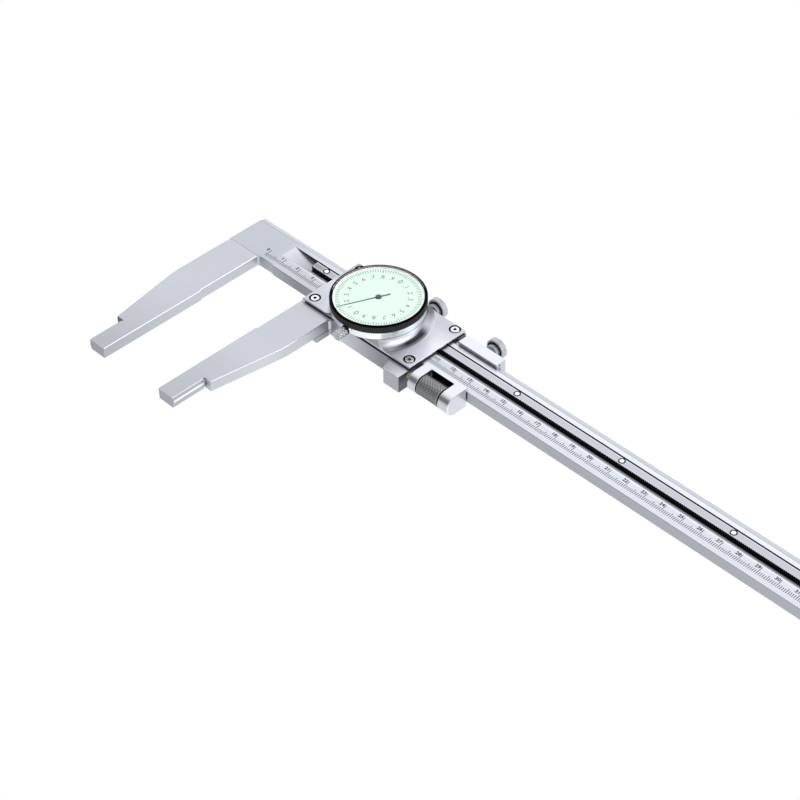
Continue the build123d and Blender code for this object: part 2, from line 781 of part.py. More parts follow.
def centre_arbor():
    """Arbor with the twenty-tooth pinion, carrying the pointer."""
    foot = movement_floor + seat_gap
    outline = toothed_outline(dial_x, dial_y, centre_teeth, centre_pitch_radius, centre_addendum,
                              centre_dedendum, centre_tooth_width, centres_angle)
    pinion_foot = wheel_level - wheel_lift / 2
    pinion_top = takeup_level + wheel_thickness + wheel_lift / 2
    solid = plan(outline, pinion_foot, pinion_top)
    solid += rod_z(dial_x, dial_y, pivot_radius, foot, pinion_foot)
    return solid + rod_z(dial_x, dial_y, pivot_radius, pinion_top, pointer_level + pointer_thickness)


def pointer():
    """Pointer with a round boss, a slim tapered hand and a short tail, at its rest reading."""
    boss = rod_z(dial_x, dial_y, pointer_boss_radius, pointer_level - pointer_boss_height / 2,
                 pointer_level + pointer_boss_height / 2)
    hand = plan([
        (-pointer_root_width / 2, -pointer_tail),
        (pointer_root_width / 2, -pointer_tail),
        (pointer_tip_width / 2, pointer_reach),
        (-pointer_tip_width / 2, pointer_reach),
    ], pointer_level, pointer_level + pointer_thickness)
    turn = 360 * (pointer_turns % 1)
    solid = boss + Pos(dial_x, dial_y, 0) * Rot(0, 0, -turn) * hand
    hand_top = pointer_level + pointer_thickness
    return solid - rod_z(dial_x, dial_y, pivot_radius + seat_gap, face_level, hand_top)


def bush_places():
    """Centres of the two arbors."""
    return [(dial_x, dial_y), (arbor_x, arbor_y)]


def pillar_places():
    """Centres of the bridge's pillars, beyond the centre pinion and beyond the wheel."""
    direction = math.radians(centres_angle)
    side = math.radians(centres_angle + 90)
    middle_x = (dial_x + arbor_x) / 2
    middle_y = (dial_y + arbor_y) / 2
    back = (dial_x - pillar_reach * math.cos(direction), dial_y - pillar_reach * math.sin(direction))
    reach = wheel_pitch_radius + pillar_radius + pillar_gap
    left = (middle_x + reach * math.cos(side), middle_y + reach * math.sin(side))
    right = (middle_x - reach * math.cos(side), middle_y - reach * math.sin(side))
    return [back, left, right]


def bridge_arm(start, end, z1, z2):
    """Straight arm with round ends between two centres."""
    angle = math.degrees(math.atan2(end[1] - start[1], end[0] - start[0]))
    length = math.dist(start, end)
    bar = box(0, length, -pillar_radius, pillar_radius, z1, z2)
    arm = Pos(start[0], start[1], 0) * Rot(0, 0, angle) * bar
    arm += rod_z(start[0], start[1], bridge_end_radius, z1, z2)
    return arm + rod_z(end[0], end[1], pillar_radius, z1, z2)


def movement_plate():
    """Lower plate of the movement on the cover plate's floor."""
    disc = rod_z(dial_x, dial_y, movement_plate_radius, movement_floor, movement_top)
    disc = disc & movement_room(free_gap)
    for x, y in bush_places():
        disc -= rod_z(x, y, bush_radius + seat_gap, movement_floor, movement_top)
    return disc


def movement_bridge():
    """Upper bridge that carries the top bushes."""
    back, left, right = pillar_places()
    centre, rack_side = bush_places()
    solid = bridge_arm(centre, back, bridge_level, bridge_top)
    solid += bridge_arm(centre, rack_side, bridge_level, bridge_top)
    solid += bridge_arm(rack_side, left, bridge_level, bridge_top)
    solid += bridge_arm(rack_side, right, bridge_level, bridge_top)
    for x, y in bush_places():
        solid -= rod_z(x, y, bush_radius + seat_gap, bridge_level, bridge_top)
    for x, y in pillar_places():
        solid -= rod_z(x, y, bridge_screw_radius + seat_gap, bridge_level, bridge_top)
    return solid


def bridge_pillars():
    """Three pillars between the plate and the bridge."""
    pillars = []
    for x, y in pillar_places():
        pillar = rod_z(x, y, pillar_radius, movement_top, bridge_level)
        foot = movement_top + bridge_screw_foot
        pillars.append(pillar - rod_z(x, y, bridge_screw_radius + seat_gap, foot, bridge_level))
    return pillars


def bridge_screws():
    """Screws through the bridge into its pillars."""
    screws = []
    for x, y in pillar_places():
        shaft = rod_z(x, y, bridge_screw_radius, movement_top + bridge_screw_foot + seat_gap, bridge_top)
        head = rod_z(x, y, bridge_screw_head, bridge_top, bridge_top + bridge_screw_head_height)
        screws.append(shaft + head)
    return screws


def bearing_bushes():
    """Bushes of both arbors in the plate and in the bridge."""
    bores = {0: pivot_radius, 1: arbor_radius}
    bushes = []
    for index, (x, y) in enumerate(bush_places()):
        lower = rod_z(x, y, bush_radius, movement_floor, movement_top)
        bushes.append(lower - rod_z(x, y, bores[index] + running_gap, movement_floor, movement_top))
        upper = rod_z(x, y, bush_radius, bridge_level, bridge_top)
        bushes.append(upper - rod_z(x, y, pivot_radius + running_gap, bridge_level, bridge_top))
    return bushes


def adjust_nut():
    """Nut of the fine adjustment, turned by the thumb, with plain rims."""
    start = window_start + nut_play
    end = start + nut_length
    nut = rod_x(adjust_axis_y, beam_middle, nut_radius, start, end)
    nut = chamfer(nut.edges(), nut_chamfer)
    band = rod_x(adjust_axis_y, beam_middle, nut_radius, start + nut_rim_length, end - nut_rim_length)
    band -= rod_x(adjust_axis_y, beam_middle, nut_radius - nut_rim_step, start, end)
    return nut - band - rod_x(adjust_axis_y, beam_middle, adjust_screw_radius + running_gap, start, end)


def nut_washer():
    """Spring washer between the nut and the right cheek."""
    start = window_end - washer_thickness
    washer = rod_x(adjust_axis_y, beam_middle, washer_radius, start, window_end)
    return washer - rod_x(adjust_axis_y, beam_middle, cheek_bore, start, window_end)


def cheek_outline():
    """Section of the carriage's near part: a D around the screw that reaches to the beam."""
    top = beam_middle + cheek_round
    bottom = beam_middle - cheek_round
    wall = -beam_half - carriage_wall_gap
    lip = -beam_half + lip_overlap
    arc = ThreePointArc((0, adjust_axis_y, top), (0, adjust_axis_y - cheek_round, beam_middle),
                        (0, adjust_axis_y, bottom))
    rest = Polyline((0, adjust_axis_y, bottom), (0, wall, bottom), (0, wall, beam_thickness + running_gap),
                    (0, lip, beam_thickness + running_gap), (0, lip, top), (0, adjust_axis_y, top))
    return make_face([arc, rest])


def carriage():
    """Fine adjustment carriage: cheeks round the nut, floor under the beam, far rail with a lip."""
    near = Pos(carriage_start, 0, 0) * extrude(cheek_outline(), carriage_end - carriage_start, dir=(1, 0, 0))
    wall = -beam_half - carriage_wall_gap
    window = box(window_start, window_end, adjust_axis_y - cheek_round - cut_past, wall - window_wall,
                 -slider_floor, beam_middle + cheek_round)
    near -= window
    floor = box(carriage_start, rail_end, wall, rail_far, -carriage_floor, -running_gap)
    rail_top = beam_thickness + rail_rise
    rail_wall = beam_half + 2 * running_gap + carriage_gib_thickness
    rail = section_x([
        (rail_wall, -carriage_floor),
        (rail_far, -carriage_floor),
        (rail_far, rail_top),
        (rail_near, rail_top),
        (rail_near, ledge_level + running_gap),
        (rail_wall, ledge_level + running_gap),
    ], rail_start, rail_end)
    solid = near + floor + rail
    bore_end = adjust_screw_end + bore_past_screw
    solid -= rod_x(adjust_axis_y, beam_middle, cheek_bore, carriage_start, bore_end)
    solid -= rod_y(carriage_clamp_x, beam_middle, clamp_shaft_radius + running_gap, rail_wall, rail_far)
    hole_y = (rail_near + rail_far) / 2 - rail_hole_offset
    hole_z = ledge_level + rail_hole_rise
    solid -= rod_x(hole_y, hole_z, rail_hole_radius, rail_end - rail_hole_depth, rail_end)
    pin_hole = carriage_gib_pin_radius + seat_gap
    return solid - rod_y(carriage_gib_pin_x, beam_middle, pin_hole, rail_wall, rail_far)


def carriage_gib():
    """Small pad that the carriage's clamping screw presses on the beam."""
    near = beam_half + running_gap
    far = near + carriage_gib_thickness
    pad = box(rail_start + carriage_gib_margin, rail_end - carriage_gib_margin, near, far, gib_foot,
              ledge_level)
    middle = (near + far) / 2
    pin_hole = carriage_gib_pin_radius + seat_gap
    return pad - rod_y(carriage_gib_pin_x, beam_middle, pin_hole, middle, far)


def carriage_gib_pin():
    """Pin that keeps the pad in the carriage."""
    near = beam_half + running_gap + carriage_gib_thickness / 2 + seat_gap
    return rod_y(carriage_gib_pin_x, beam_middle, carriage_gib_pin_radius, near, rail_far)


def clamp_screw(x, tip, neck_start, neck):
    """Clamping screw along Y: shaft, boss and a broad head with a turned ring on its near side."""
    head_start = neck_start + neck
    boss_start = head_start - clamp_boss_length
    solid = rod_y(x, beam_middle, clamp_shaft_radius, tip, boss_start)
    solid += rod_y(x, beam_middle, clamp_boss_radius, boss_start, head_start)
    head = rod_y(x, beam_middle, clamp_head_radius, head_start, head_start + clamp_head_length)
    head = chamfer(head.edges(), beam_edge_chamfer)
    ring = rod_y(x, beam_middle, clamp_ring_outer, head_start, head_start + clamp_ring_depth)
    ring -= rod_y(x, beam_middle, clamp_boss_radius, head_start, head_start + clamp_ring_depth)
    return solid + (head - ring)


def slider_clamp_screw():
    """Clamping screw of the slider."""
    tip = beam_half + running_gap + gib_thickness + running_gap
    return clamp_screw(slider_clamp_x, tip, slider_far, slider_clamp_neck)


def carriage_clamp_screw():
    """Clamping screw of the carriage."""
    tip = beam_half + running_gap + carriage_gib_thickness + running_gap
    return clamp_screw(carriage_clamp_x, tip, rail_far, carriage_clamp_neck)


def bezel_screw():
    """Small clamping screw that presses on the bezel's spigot."""
    level = bezel_screw_level()
    tip = dial_y - spigot_radius - running_gap
    boss_face = dial_y - bezel_boss_end
    head_start = boss_face - bezel_screw_neck
    shaft = rod_y(dial_x, level, bezel_screw_radius, head_start, tip)
    head = rod_y(dial_x, level, bezel_screw_head_radius, head_start - bezel_screw_head_length, head_start)
    return around_dial(shaft + chamfer(head.edges(), beam_edge_chamfer))


pieces = {
    "beam": beam,
    "rack": rack,
    "rack_pins": rack_pins,
    "end_stop": end_stop,
    "end_stop_screws": end_stop_screws,
    "slider_body": slider_body,
    "slider_gib": slider_gib,
    "gib_screws": gib_screws,
    "cover_plate": cover_plate,
    "plate_screws": plate_screws,
    "case_ring": case_ring,
    "fine_adjust_screw": fine_adjust_screw,
    "lug_pin": lug_pin,
    "movement_plate": movement_plate,
    "movement_bridge": movement_bridge,
    "bridge_pillars": bridge_pillars,
    "bridge_screws": bridge_screws,
    "bearing_bushes": bearing_bushes,
    "rack_arbor": rack_arbor,
    "drive_wheel": drive_wheel,
    "takeup_wheel": takeup_wheel,
    "takeup_spring": takeup_spring,
    "centre_arbor": centre_arbor,
    "pointer": pointer,
    "bezel": bezel,
    "crystal": crystal,
    "dial_face": dial_face,
    "face_ring": face_ring,
    "bezel_screw": bezel_screw,
    "slider_clamp_screw": slider_clamp_screw,
    "adjust_nut": adjust_nut,
    "nut_washer": nut_washer,
    "carriage": carriage,
    "carriage_gib": carriage_gib,
    "carriage_gib_pin": carriage_gib_pin,
    "carriage_clamp_screw": carriage_clamp_screw,
}

os.makedirs("parts", exist_ok=True)
for name, make in pieces.items():
    made = make()
    shape = Compound(children=made) if isinstance(made, list) else made
    export_step(shape, f"parts/{name}.step")
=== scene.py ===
import bpy
import json
import math
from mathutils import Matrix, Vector


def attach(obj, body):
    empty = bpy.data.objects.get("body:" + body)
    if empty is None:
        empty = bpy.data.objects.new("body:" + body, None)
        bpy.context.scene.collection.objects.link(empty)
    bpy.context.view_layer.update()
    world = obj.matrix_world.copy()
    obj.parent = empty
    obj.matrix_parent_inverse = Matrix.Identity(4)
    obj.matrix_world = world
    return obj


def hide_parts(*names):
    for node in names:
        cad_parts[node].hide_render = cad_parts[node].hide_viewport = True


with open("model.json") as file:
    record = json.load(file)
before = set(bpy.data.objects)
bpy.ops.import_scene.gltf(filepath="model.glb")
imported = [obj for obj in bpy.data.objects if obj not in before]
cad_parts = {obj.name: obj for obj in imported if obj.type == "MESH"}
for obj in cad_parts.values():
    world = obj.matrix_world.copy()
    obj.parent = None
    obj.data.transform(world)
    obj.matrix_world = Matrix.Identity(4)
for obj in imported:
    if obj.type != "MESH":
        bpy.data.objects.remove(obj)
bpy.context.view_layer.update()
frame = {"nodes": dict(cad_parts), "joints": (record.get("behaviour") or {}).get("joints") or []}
nodes = frame["nodes"]
print("frame loaded")

mm = 0.001
# the turning joints' axes, in metres
pivots = {joint["name"]: joint["pos_m"] for joint in frame["joints"] if joint.get("pos_m")}
dialCentre = pivots["hand_spin"][:2]
dialX, dialY = (part / mm for part in dialCentre)
nutAxis = pivots["nut_spin"][1:]    # y and z of the fine adjustment screw


def deselectAll():
    if bpy.context.object and bpy.context.object.mode != "OBJECT":
        bpy.ops.object.mode_set(mode="OBJECT")
    bpy.ops.object.select_all(action="DESELECT")


def addNode(tree, kind, **settings):
    node = tree.nodes.new(kind)
    for key, value in settings.items():
        setattr(node, key, value)
    return node


# gives a socket a value, or links another socket to it
def feed(tree, socket, value):
    if isinstance(value, bpy.types.NodeSocket):
        tree.links.new(value, socket)
    else:
        socket.default_value = value


def mathNode(tree, operation, *values):
    node = addNode(tree, "ShaderNodeMath", operation=operation)
    for socket, value in zip(node.inputs, values):
        feed(tree, socket, value)
    return node.outputs[0]


# a vector, or a number for a length and a dot product
def vectorNode(tree, operation, *values):
    node = addNode(tree, "ShaderNodeVectorMath", operation=operation)
    for socket, value in zip(node.inputs, values):
        feed(tree, socket, value)
    return node.outputs["Value" if operation in ("LENGTH", "DOT_PRODUCT") else "Vector"]


def scaled(tree, vector, factor):
    node = addNode(tree, "ShaderNodeVectorMath", operation="SCALE")
    feed(tree, node.inputs[0], vector)
    feed(tree, node.inputs["Scale"], factor)
    return node.outputs[0]


# ramp of a value between two of its marks, straight unless a kind is named
def ramp(tree, value, start, end, low, high, kind="LINEAR"):
    node = addNode(tree, "ShaderNodeMapRange", interpolation_type=kind)
    for label, mark in (("From Min", start), ("From Max", end), ("To Min", low), ("To Max", high)):
        node.inputs[label].default_value = mark
    feed(tree, node.inputs["Value"], value)
    return node.outputs["Result"]


# number a where the mask is nought, b where it is one
def choose(tree, mask, a, b):
    node = addNode(tree, "ShaderNodeMix")
    for label, value in (("Factor", mask), ("A", a), ("B", b)):
        feed(tree, node.inputs[label], value)
    return node.outputs["Result"]


# camera: where the photograph was taken from
cameraSet = {"place": (0.65435, -0.55368, 0.67715), "turn": (48.032, 0.678, 45.360), "lens": 104.85,
             "sensor": 36, "near": 0.01, "far": 50}
bpy.ops.object.camera_add(location=cameraSet["place"],
                          rotation=[math.radians(angle) for angle in cameraSet["turn"]])
camera = bpy.context.object
camera.name = "photoCamera"
camera.data.lens = cameraSet["lens"]
camera.data.sensor_width = cameraSet["sensor"]
camera.data.clip_start = cameraSet["near"]
camera.data.clip_end = cameraSet["far"]
bpy.context.scene.camera = camera
bpy.context.scene.view_settings.view_transform = "Standard"
bpy.context.scene.view_settings.look = "None"

# studio: white for the camera, for the metal a soft sky and floor with lighter and darker parts;
# each row: direction, angle of full strength, angle where it ends, strength;
# right is along the beam, near is towards the jaws' tips
skyPatches = [
    ((0, 0, -1), 60, 92, 0.95),                 # the paper under it
    ((0.60, 0.52, -0.60), 20, 50, 1.15),        # the paper at the far right
    ((-0.535, -0.517, -0.669), 15, 45, 0.79),   # at the near left
    ((-0.08, -0.74, -0.67), 8, 24, 0.95),       # at the near side
    ((0.60, -0.44, -0.67), 6, 20, 1.15),        # at the near right
    ((0.74, 0.05, -0.67), 8, 18, 1.70),         # at the right
    ((0.96, -0.03, 0.20), 14, 26, 1.50),        # the wall at the right
    ((0.78, -0.58, 0.15), 10, 20, 0.50),        # the wall at the near right
    ((0.517, -0.80, -0.30), 10, 26, 1.30),      # below it
    ((-0.535, -0.837, 0.113), 8, 24, 0.60),     # the wall at the near left
    ((-0.535, -0.669, 0.517), 14, 30, 0.16),    # a dark stand left of the camera
    ((0.30, -0.55, 0.78), 12, 28, 0.32),        # and the camera's side of the room
    ((-0.10, -0.64, 0.76), 10, 26, 0.60),       # the ceiling at the near side
    ((0.695, 0.45, 0.546), 12, 26, 1.30),       # a soft box
    ((0.42, 0.00, 0.90), 14, 26, 0.40),         # the gap between the ceiling's lights
    ((-0.58, 0.51, 0.635), 25, 39, 1.30),       # the main light
]
studioSet = {"seen": (1, 1, 1, 1), "tint": (0.965, 0.98, 1.0, 1), "strength": 1.0}
world = bpy.data.worlds.new("studio")
bpy.context.scene.world = world
world.use_nodes = True
sky = world.node_tree
sky.nodes.clear()
around = addNode(sky, "ShaderNodeTexCoord").outputs["Generated"]
strength = studioSet["strength"]
for direction, inner, outer, value in skyPatches:
    likeness = vectorNode(sky, "DOT_PRODUCT", around, Vector(direction).normalized())
    marks = [math.cos(math.radians(angle)) for angle in (outer, inner)]
    strength = choose(sky, ramp(sky, likeness, *marks, 0, 1, kind="SMOOTHSTEP"), strength, value)
lit = addNode(sky, "ShaderNodeBackground")
feed(sky, lit.inputs["Color"], studioSet["tint"])
feed(sky, lit.inputs["Strength"], strength)
seen = addNode(sky, "ShaderNodeBackground")
feed(sky, seen.inputs["Color"], studioSet["seen"])
mixer = addNode(sky, "ShaderNodeMixShader")
feed(sky, mixer.inputs[0], addNode(sky, "ShaderNodeLightPath").outputs["Is Camera Ray"])
feed(sky, mixer.inputs[1], lit.outputs[0])
feed(sky, mixer.inputs[2], seen.outputs[0])
feed(sky, addNode(sky, "ShaderNodeOutputWorld").inputs["Surface"], mixer.outputs[0])

lampSet = {"keyPlace": (0.35, 0.15, 1.5), "keySize": 0.5, "keyPower": 5.0,
           "fillPlace": (1.2, 0.9, 0.7), "fillSize": 0.5, "fillPower": 1.5, "aim": (0.15, 0, 0)}
for label in ("key", "fill"):
    place = Vector(lampSet[label + "Place"])
    bpy.ops.object.light_add(type="AREA", location=place)
    lamp = bpy.context.object
    lamp.name = label + "Light"
    lamp.data.shape = "DISK"
    lamp.data.size = lampSet[label + "Size"]
    lamp.data.energy = lampSet[label + "Power"]
    lamp.rotation_euler = (Vector(lampSet["aim"]) - place).to_track_quat("-Z", "Y").to_euler()
    lamp.visible_glossy = label != "key"
print("camera and studio made")


def objectPlace(tree):
    return addNode(tree, "ShaderNodeTexCoord").outputs["Object"]


def noiseAt(tree, vector, scale, detail):
    node = addNode(tree, "ShaderNodeTexNoise")
    for label, value in (("Vector", vector), ("Scale", scale), ("Detail", detail)):
        feed(tree, node.inputs[label], value)
    return node.outputs["Fac"]


# noise spread over a range
def spreadOf(tree, noise, low, high):
    return ramp(tree, noise, 0.3, 0.7, low, high)   # the noise seldom leaves these two marks


# colour between two others by a factor
def mixColour(tree, factor, a, b):
    node = addNode(tree, "ShaderNodeMix", data_type="RGBA")
    feed(tree, node.inputs["Factor"], factor)
    for label, colour in (("A", a), ("B", b)):
        feed(tree, node.inputs[label], (*colour, 1) if isinstance(colour, tuple) else colour)
    return node.outputs["Result"]


# shared effects: an empty node group with its sockets
def newGroup(name, ins, outs):
    group = bpy.data.node_groups.new(name, "ShaderNodeTree")
    for label, kind, value in ins:
        group.interface.new_socket(label, in_out="INPUT", socket_type=kind).default_value = value
    for label, kind in outs:
        group.interface.new_socket(label, in_out="OUTPUT", socket_type=kind)
    return group, addNode(group, "NodeGroupInput"), addNode(group, "NodeGroupOutput")


# fine lines drawn along one way, and slow changes of tone
def makeBrushedGrain():
    group, first, last = newGroup("brushedGrain", [
        ("Stretch", "NodeSocketVector", (20.0, 1500.0, 1500.0)), ("Tone Scale", "NodeSocketFloat", 30.0),
    ], [("Lines", "NodeSocketFloat"), ("Tone", "NodeSocketFloat")])
    place = objectPlace(group)
    stretched = vectorNode(group, "MULTIPLY", place, first.outputs["Stretch"])
    feed(group, last.inputs["Lines"], noiseAt(group, stretched, 1.0, 3.0))
    feed(group, last.inputs["Tone"], noiseAt(group, place, first.outputs["Tone Scale"], 2.0))
    return group


# mask of the edges, where the rounded normal is unlike the face's, and that normal; the mask places painted
# highlights along the edges
def makeEdgeLight():
    group, first, last = newGroup("edgeLight", [("Radius", "NodeSocketFloat", 0.00025)],
                                  [("Edge", "NodeSocketFloat"), ("Normal", "NodeSocketVector")])
    bevel = addNode(group, "ShaderNodeBevel", samples=6)
    feed(group, bevel.inputs["Radius"], first.outputs["Radius"])
    faceNormal = addNode(group, "ShaderNodeNewGeometry").outputs["Normal"]
    likeness = vectorNode(group, "DOT_PRODUCT", bevel.outputs[0], faceNormal)
    feed(group, last.inputs["Edge"], ramp(group, likeness, 0.995, 0.86, 0, 1))
    feed(group, last.inputs["Normal"], bevel.outputs[0])
    return group


# rings left by the lathe round an upright axis, from the distance to it
def makeTurnedGrain():
    group, first, last = newGroup("turnedGrain", [
        ("Centre", "NodeSocketVector", (0, 0, 0)), ("Scale", "NodeSocketFloat", 2500.0),
    ], [("Lines", "NodeSocketFloat")])
    moved = vectorNode(group, "SUBTRACT", objectPlace(group), first.outputs["Centre"])
    outward = vectorNode(group, "MULTIPLY", moved, (1, 1, 0))
    upward = vectorNode(group, "SUBTRACT", moved, outward)
    both = addNode(group, "ShaderNodeCombineXYZ")
    feed(group, both.inputs[0], vectorNode(group, "LENGTH", outward))
    feed(group, both.inputs[1], vectorNode(group, "LENGTH", upward))
    feed(group, last.inputs["Lines"], noiseAt(group, both.outputs[0], first.outputs["Scale"], 2.0))
    return group


# diamond knurl round an axis along Y or X: angle and length make two sets of ridges
def makeKnurl():
    group, first, last = newGroup("knurl", [
        ("Centre", "NodeSocketVector", (0, 0, 0)), ("Count", "NodeSocketFloat", 60.0),
        ("Pitch", "NodeSocketFloat", 0.0006), ("Along X", "NodeSocketFloat", 1.0),
    ], [("Height", "NodeSocketFloat")])
    parts = addNode(group, "ShaderNodeSeparateXYZ")
    feed(group, parts.inputs[0], vectorNode(group, "SUBTRACT", objectPlace(group), first.outputs["Centre"]))
    x, y, z = parts.outputs
    alongX = first.outputs["Along X"]
    alongY = mathNode(group, "SUBTRACT", 1.0, alongX)

    # the first value where the axis lies along X, the second where it lies along Y
    def either(forX, forY):
        return mathNode(group, "ADD", mathNode(group, "MULTIPLY", forX, alongX),
                        mathNode(group, "MULTIPLY", forY, alongY))

    turns = mathNode(group, "MULTIPLY", mathNode(group, "ARCTAN2", either(y, x), z), first.outputs["Count"])
    length = mathNode(group, "MULTIPLY", either(x, y), 2 * math.pi)
    steps = mathNode(group, "DIVIDE", length, first.outputs["Pitch"])
    one = mathNode(group, "SINE", mathNode(group, "ADD", turns, steps))
    two = mathNode(group, "SINE", mathNode(group, "SUBTRACT", turns, steps))
    lower = mathNode(group, "MINIMUM", one, two)
    feed(group, last.inputs["Height"], mathNode(group, "MULTIPLY_ADD", lower, 0.5, 0.5))
    return group


brushedGrain = makeBrushedGrain()
edgeLight = makeEdgeLight()
turnedGrain = makeTurnedGrain()
knurl = makeKnurl()


def useGroup(tree, group, **values):
    node = addNode(tree, "ShaderNodeGroup", node_tree=group)
    for label, value in values.items():
        node.inputs[label.replace("_", " ")].default_value = value
    return node


def newMaterial(name, metallic=1.0):
    material = bpy.data.materials.new(name)
    material.use_nodes = True
    tree = material.node_tree
    shader = tree.nodes["Principled BSDF"]
    shader.inputs["Metallic"].default_value = metallic
    return material, tree, shader


# two shades of a colour, darker and lighter by a share of it
def shades(colour, spread):
    return [tuple(min(1.0, part * by) for part in colour) for by in (1 - spread, 1 + spread)]


# a material's point: its object coordinates in millimetres, by axis
def pointOf(tree):
    parts = addNode(tree, "ShaderNodeSeparateXYZ")
    feed(tree, parts.inputs[0], scaled(tree, objectPlace(tree), 1 / mm))
    return {axis: parts.outputs[axis] for axis in "XYZ"}


# distance of a point from an axis, in two of its coordinates
def distance(tree, point, **axis):
    squares = []
    for label, middle in axis.items():
        gap = mathNode(tree, "SUBTRACT", point[label], middle)
        squares.append(mathNode(tree, "MULTIPLY", gap, gap))
    return mathNode(tree, "POWER", mathNode(tree, "ADD", *squares), 0.5)


# one where the value lies between two marks, else nought; None leaves an end open
def within(tree, value, start, end, soft=0.03):
    rise = 1.0 if start is None else ramp(tree, value, start - soft, start, 0, 1)
    fall = 1.0 if end is None else ramp(tree, value, end, end + soft, 1, 0)
    return mathNode(tree, "MULTIPLY", rise, fall)


# one inside a box, which spans some of the point's coordinates
def insideBox(tree, point, box):
    masks = [within(tree, point[label], *span) for label, span in box.items()]
    mask = masks[0]
    for other in masks[1:]:
        mask = mathNode(tree, "MULTIPLY", mask, other)
    return mask


# paints boxes over a tone, each with a tone of its own: a number, a socket, or a ramp's axis and marks
def paint(tree, point, tone, boxes):
    for box, inner in boxes:
        if isinstance(inner, tuple):
            axis, *marks = inner
            inner = ramp(tree, point[axis], *marks)
        tone = choose(tree, insideBox(tree, point, box), tone, inner)
    return tone


# settings that the materials share: depths of bumps and radii of edges in metres, the gain of the painted
# edge highlights, and the gain and cap of the painted light and shade
grainDepth = 0.00003
toneSet = {"gain": 1.06, "cap": 1.14}
steelSet = {"edge": 0.0003, "edgeHighlight": 1.35, "toneScale": 35.0, "roughSpread": 0.03,
            "smoothLines": 0.5, "smoothRough": 0.30, "mattMetallic": 0.1}
turnedSet = {"edge": 0.0002, "edgeHighlight": 1.25, "scale": 3500.0, "spread": 0.04, "roughSpread": 0.03, "bump": 0.08}
knurlSet = {"edge": 0.0002, "edgeHighlight": 1.4, "endHeight": 0.9, "valleyRough": 0.1, "bump": 0.6}
plainSet = {"stretch": (900, 900, 900), "toneScale": 60.0, "roughSpread": 0.04, "bump": 0.05}


# scales the base by painted light and shade that the tones give by place, and brightens its edges with a
# painted highlight
def placeTones(tree, shader, base, edges, edgeHighlight, tones):
    paintedLight = mathNode(tree, "MULTIPLY_ADD", edges.outputs["Edge"], edgeHighlight - 1, 1.0)
    if tones:
        placed = mathNode(tree, "MULTIPLY", paintedLight, tones(tree, pointOf(tree)))
        paintedLight = mathNode(tree, "MINIMUM", mathNode(tree, "MULTIPLY", placed, toneSet["gain"]), toneSet["cap"])
    feed(tree, shader.inputs["Base Color"], scaled(tree, base, paintedLight))


# bump by a height, over the edges' rounded normal where there is one
def addBump(tree, shader, height, strength, depth, edges=None):
    bump = addNode(tree, "ShaderNodeBump")
    for label, value in (("Height", height), ("Strength", strength), ("Distance", depth)):
        feed(tree, bump.inputs[label], value)
    if edges:
        feed(tree, bump.inputs["Normal"], edges.outputs["Normal"])
    feed(tree, shader.inputs["Normal"], bump.outputs["Normal"])


# brushed or satin steel: grain in tone, roughness and bump, painted highlights on its edges, painted light
# and shade by place, and masks of a polished and a matt part
def steel(name, colour, rough, stretch=(20, 1500, 1500), spread=0.04, bump=0.10,
          tones=None, polished=None, matt=None):
    s = steelSet
    material, tree, shader = newMaterial(name)
    if matt:
        feed(tree, shader.inputs["Metallic"], choose(tree, matt(tree, pointOf(tree)), 1.0, s["mattMetallic"]))
    grain = useGroup(tree, brushedGrain, Stretch=stretch, Tone_Scale=s["toneScale"])
    edges = useGroup(tree, edgeLight, Radius=s["edge"])
    lines = spreadOf(tree, grain.outputs["Lines"], 0, 1)
    roughness = spreadOf(tree, grain.outputs["Tone"], rough - s["roughSpread"], rough + s["roughSpread"])
    if polished:
        smooth = polished(tree, pointOf(tree))
        lines = choose(tree, smooth, lines, s["smoothLines"])
        roughness = choose(tree, smooth, roughness, s["smoothRough"])
        bump = choose(tree, smooth, bump, 0.0)
    base = mixColour(tree, lines, *shades(colour, spread))
    placeTones(tree, shader, base, edges, s["edgeHighlight"], tones)
    feed(tree, shader.inputs["Roughness"], roughness)
    addBump(tree, shader, grain.outputs["Lines"], bump, grainDepth, edges)
    return material


# metal turned on a lathe round an upright axis, with painted highlights on its edges and painted light and
# shade by place
def turnedMetal(name, colour, rough, centre=(0, 0, 0), tones=None):
    s = turnedSet
    material, tree, shader = newMaterial(name)
    rings = useGroup(tree, turnedGrain, Centre=centre, Scale=s["scale"])
    edges = useGroup(tree, edgeLight, Radius=s["edge"])
    lines = rings.outputs["Lines"]
    base = mixColour(tree, spreadOf(tree, lines, 0, 1), *shades(colour, s["spread"]))
    placeTones(tree, shader, base, edges, s["edgeHighlight"], tones)
    roughness = spreadOf(tree, lines, rough - s["roughSpread"], rough + s["roughSpread"])
    feed(tree, shader.inputs["Roughness"], roughness)
    addBump(tree, shader, lines, s["bump"], grainDepth, edges)
    return material


# knurled metal: ridges in bump, painted shade in the valleys and painted highlights on its edges; alongX is 1
# for an axis along X, 0 along Y
def knurled(name, colour, low, rough, centre, count, pitch, alongX, depth=0.0001, tones=None, ends=None):
    s = knurlSet
    material, tree, shader = newMaterial(name)
    ridges = useGroup(tree, knurl, Centre=centre, Count=count, Pitch=pitch, Along_X=alongX)
    height = ridges.outputs["Height"]
    if ends:
        height = choose(tree, ends(tree, pointOf(tree)), height, s["endHeight"])
    edges = useGroup(tree, edgeLight, Radius=s["edge"])
    placeTones(tree, shader, mixColour(tree, height, low, colour), edges, s["edgeHighlight"], tones)
    feed(tree, shader.inputs["Roughness"], ramp(tree, height, 0, 1, rough + s["valleyRough"], rough))
    addBump(tree, shader, height, s["bump"], depth, edges)
    return material
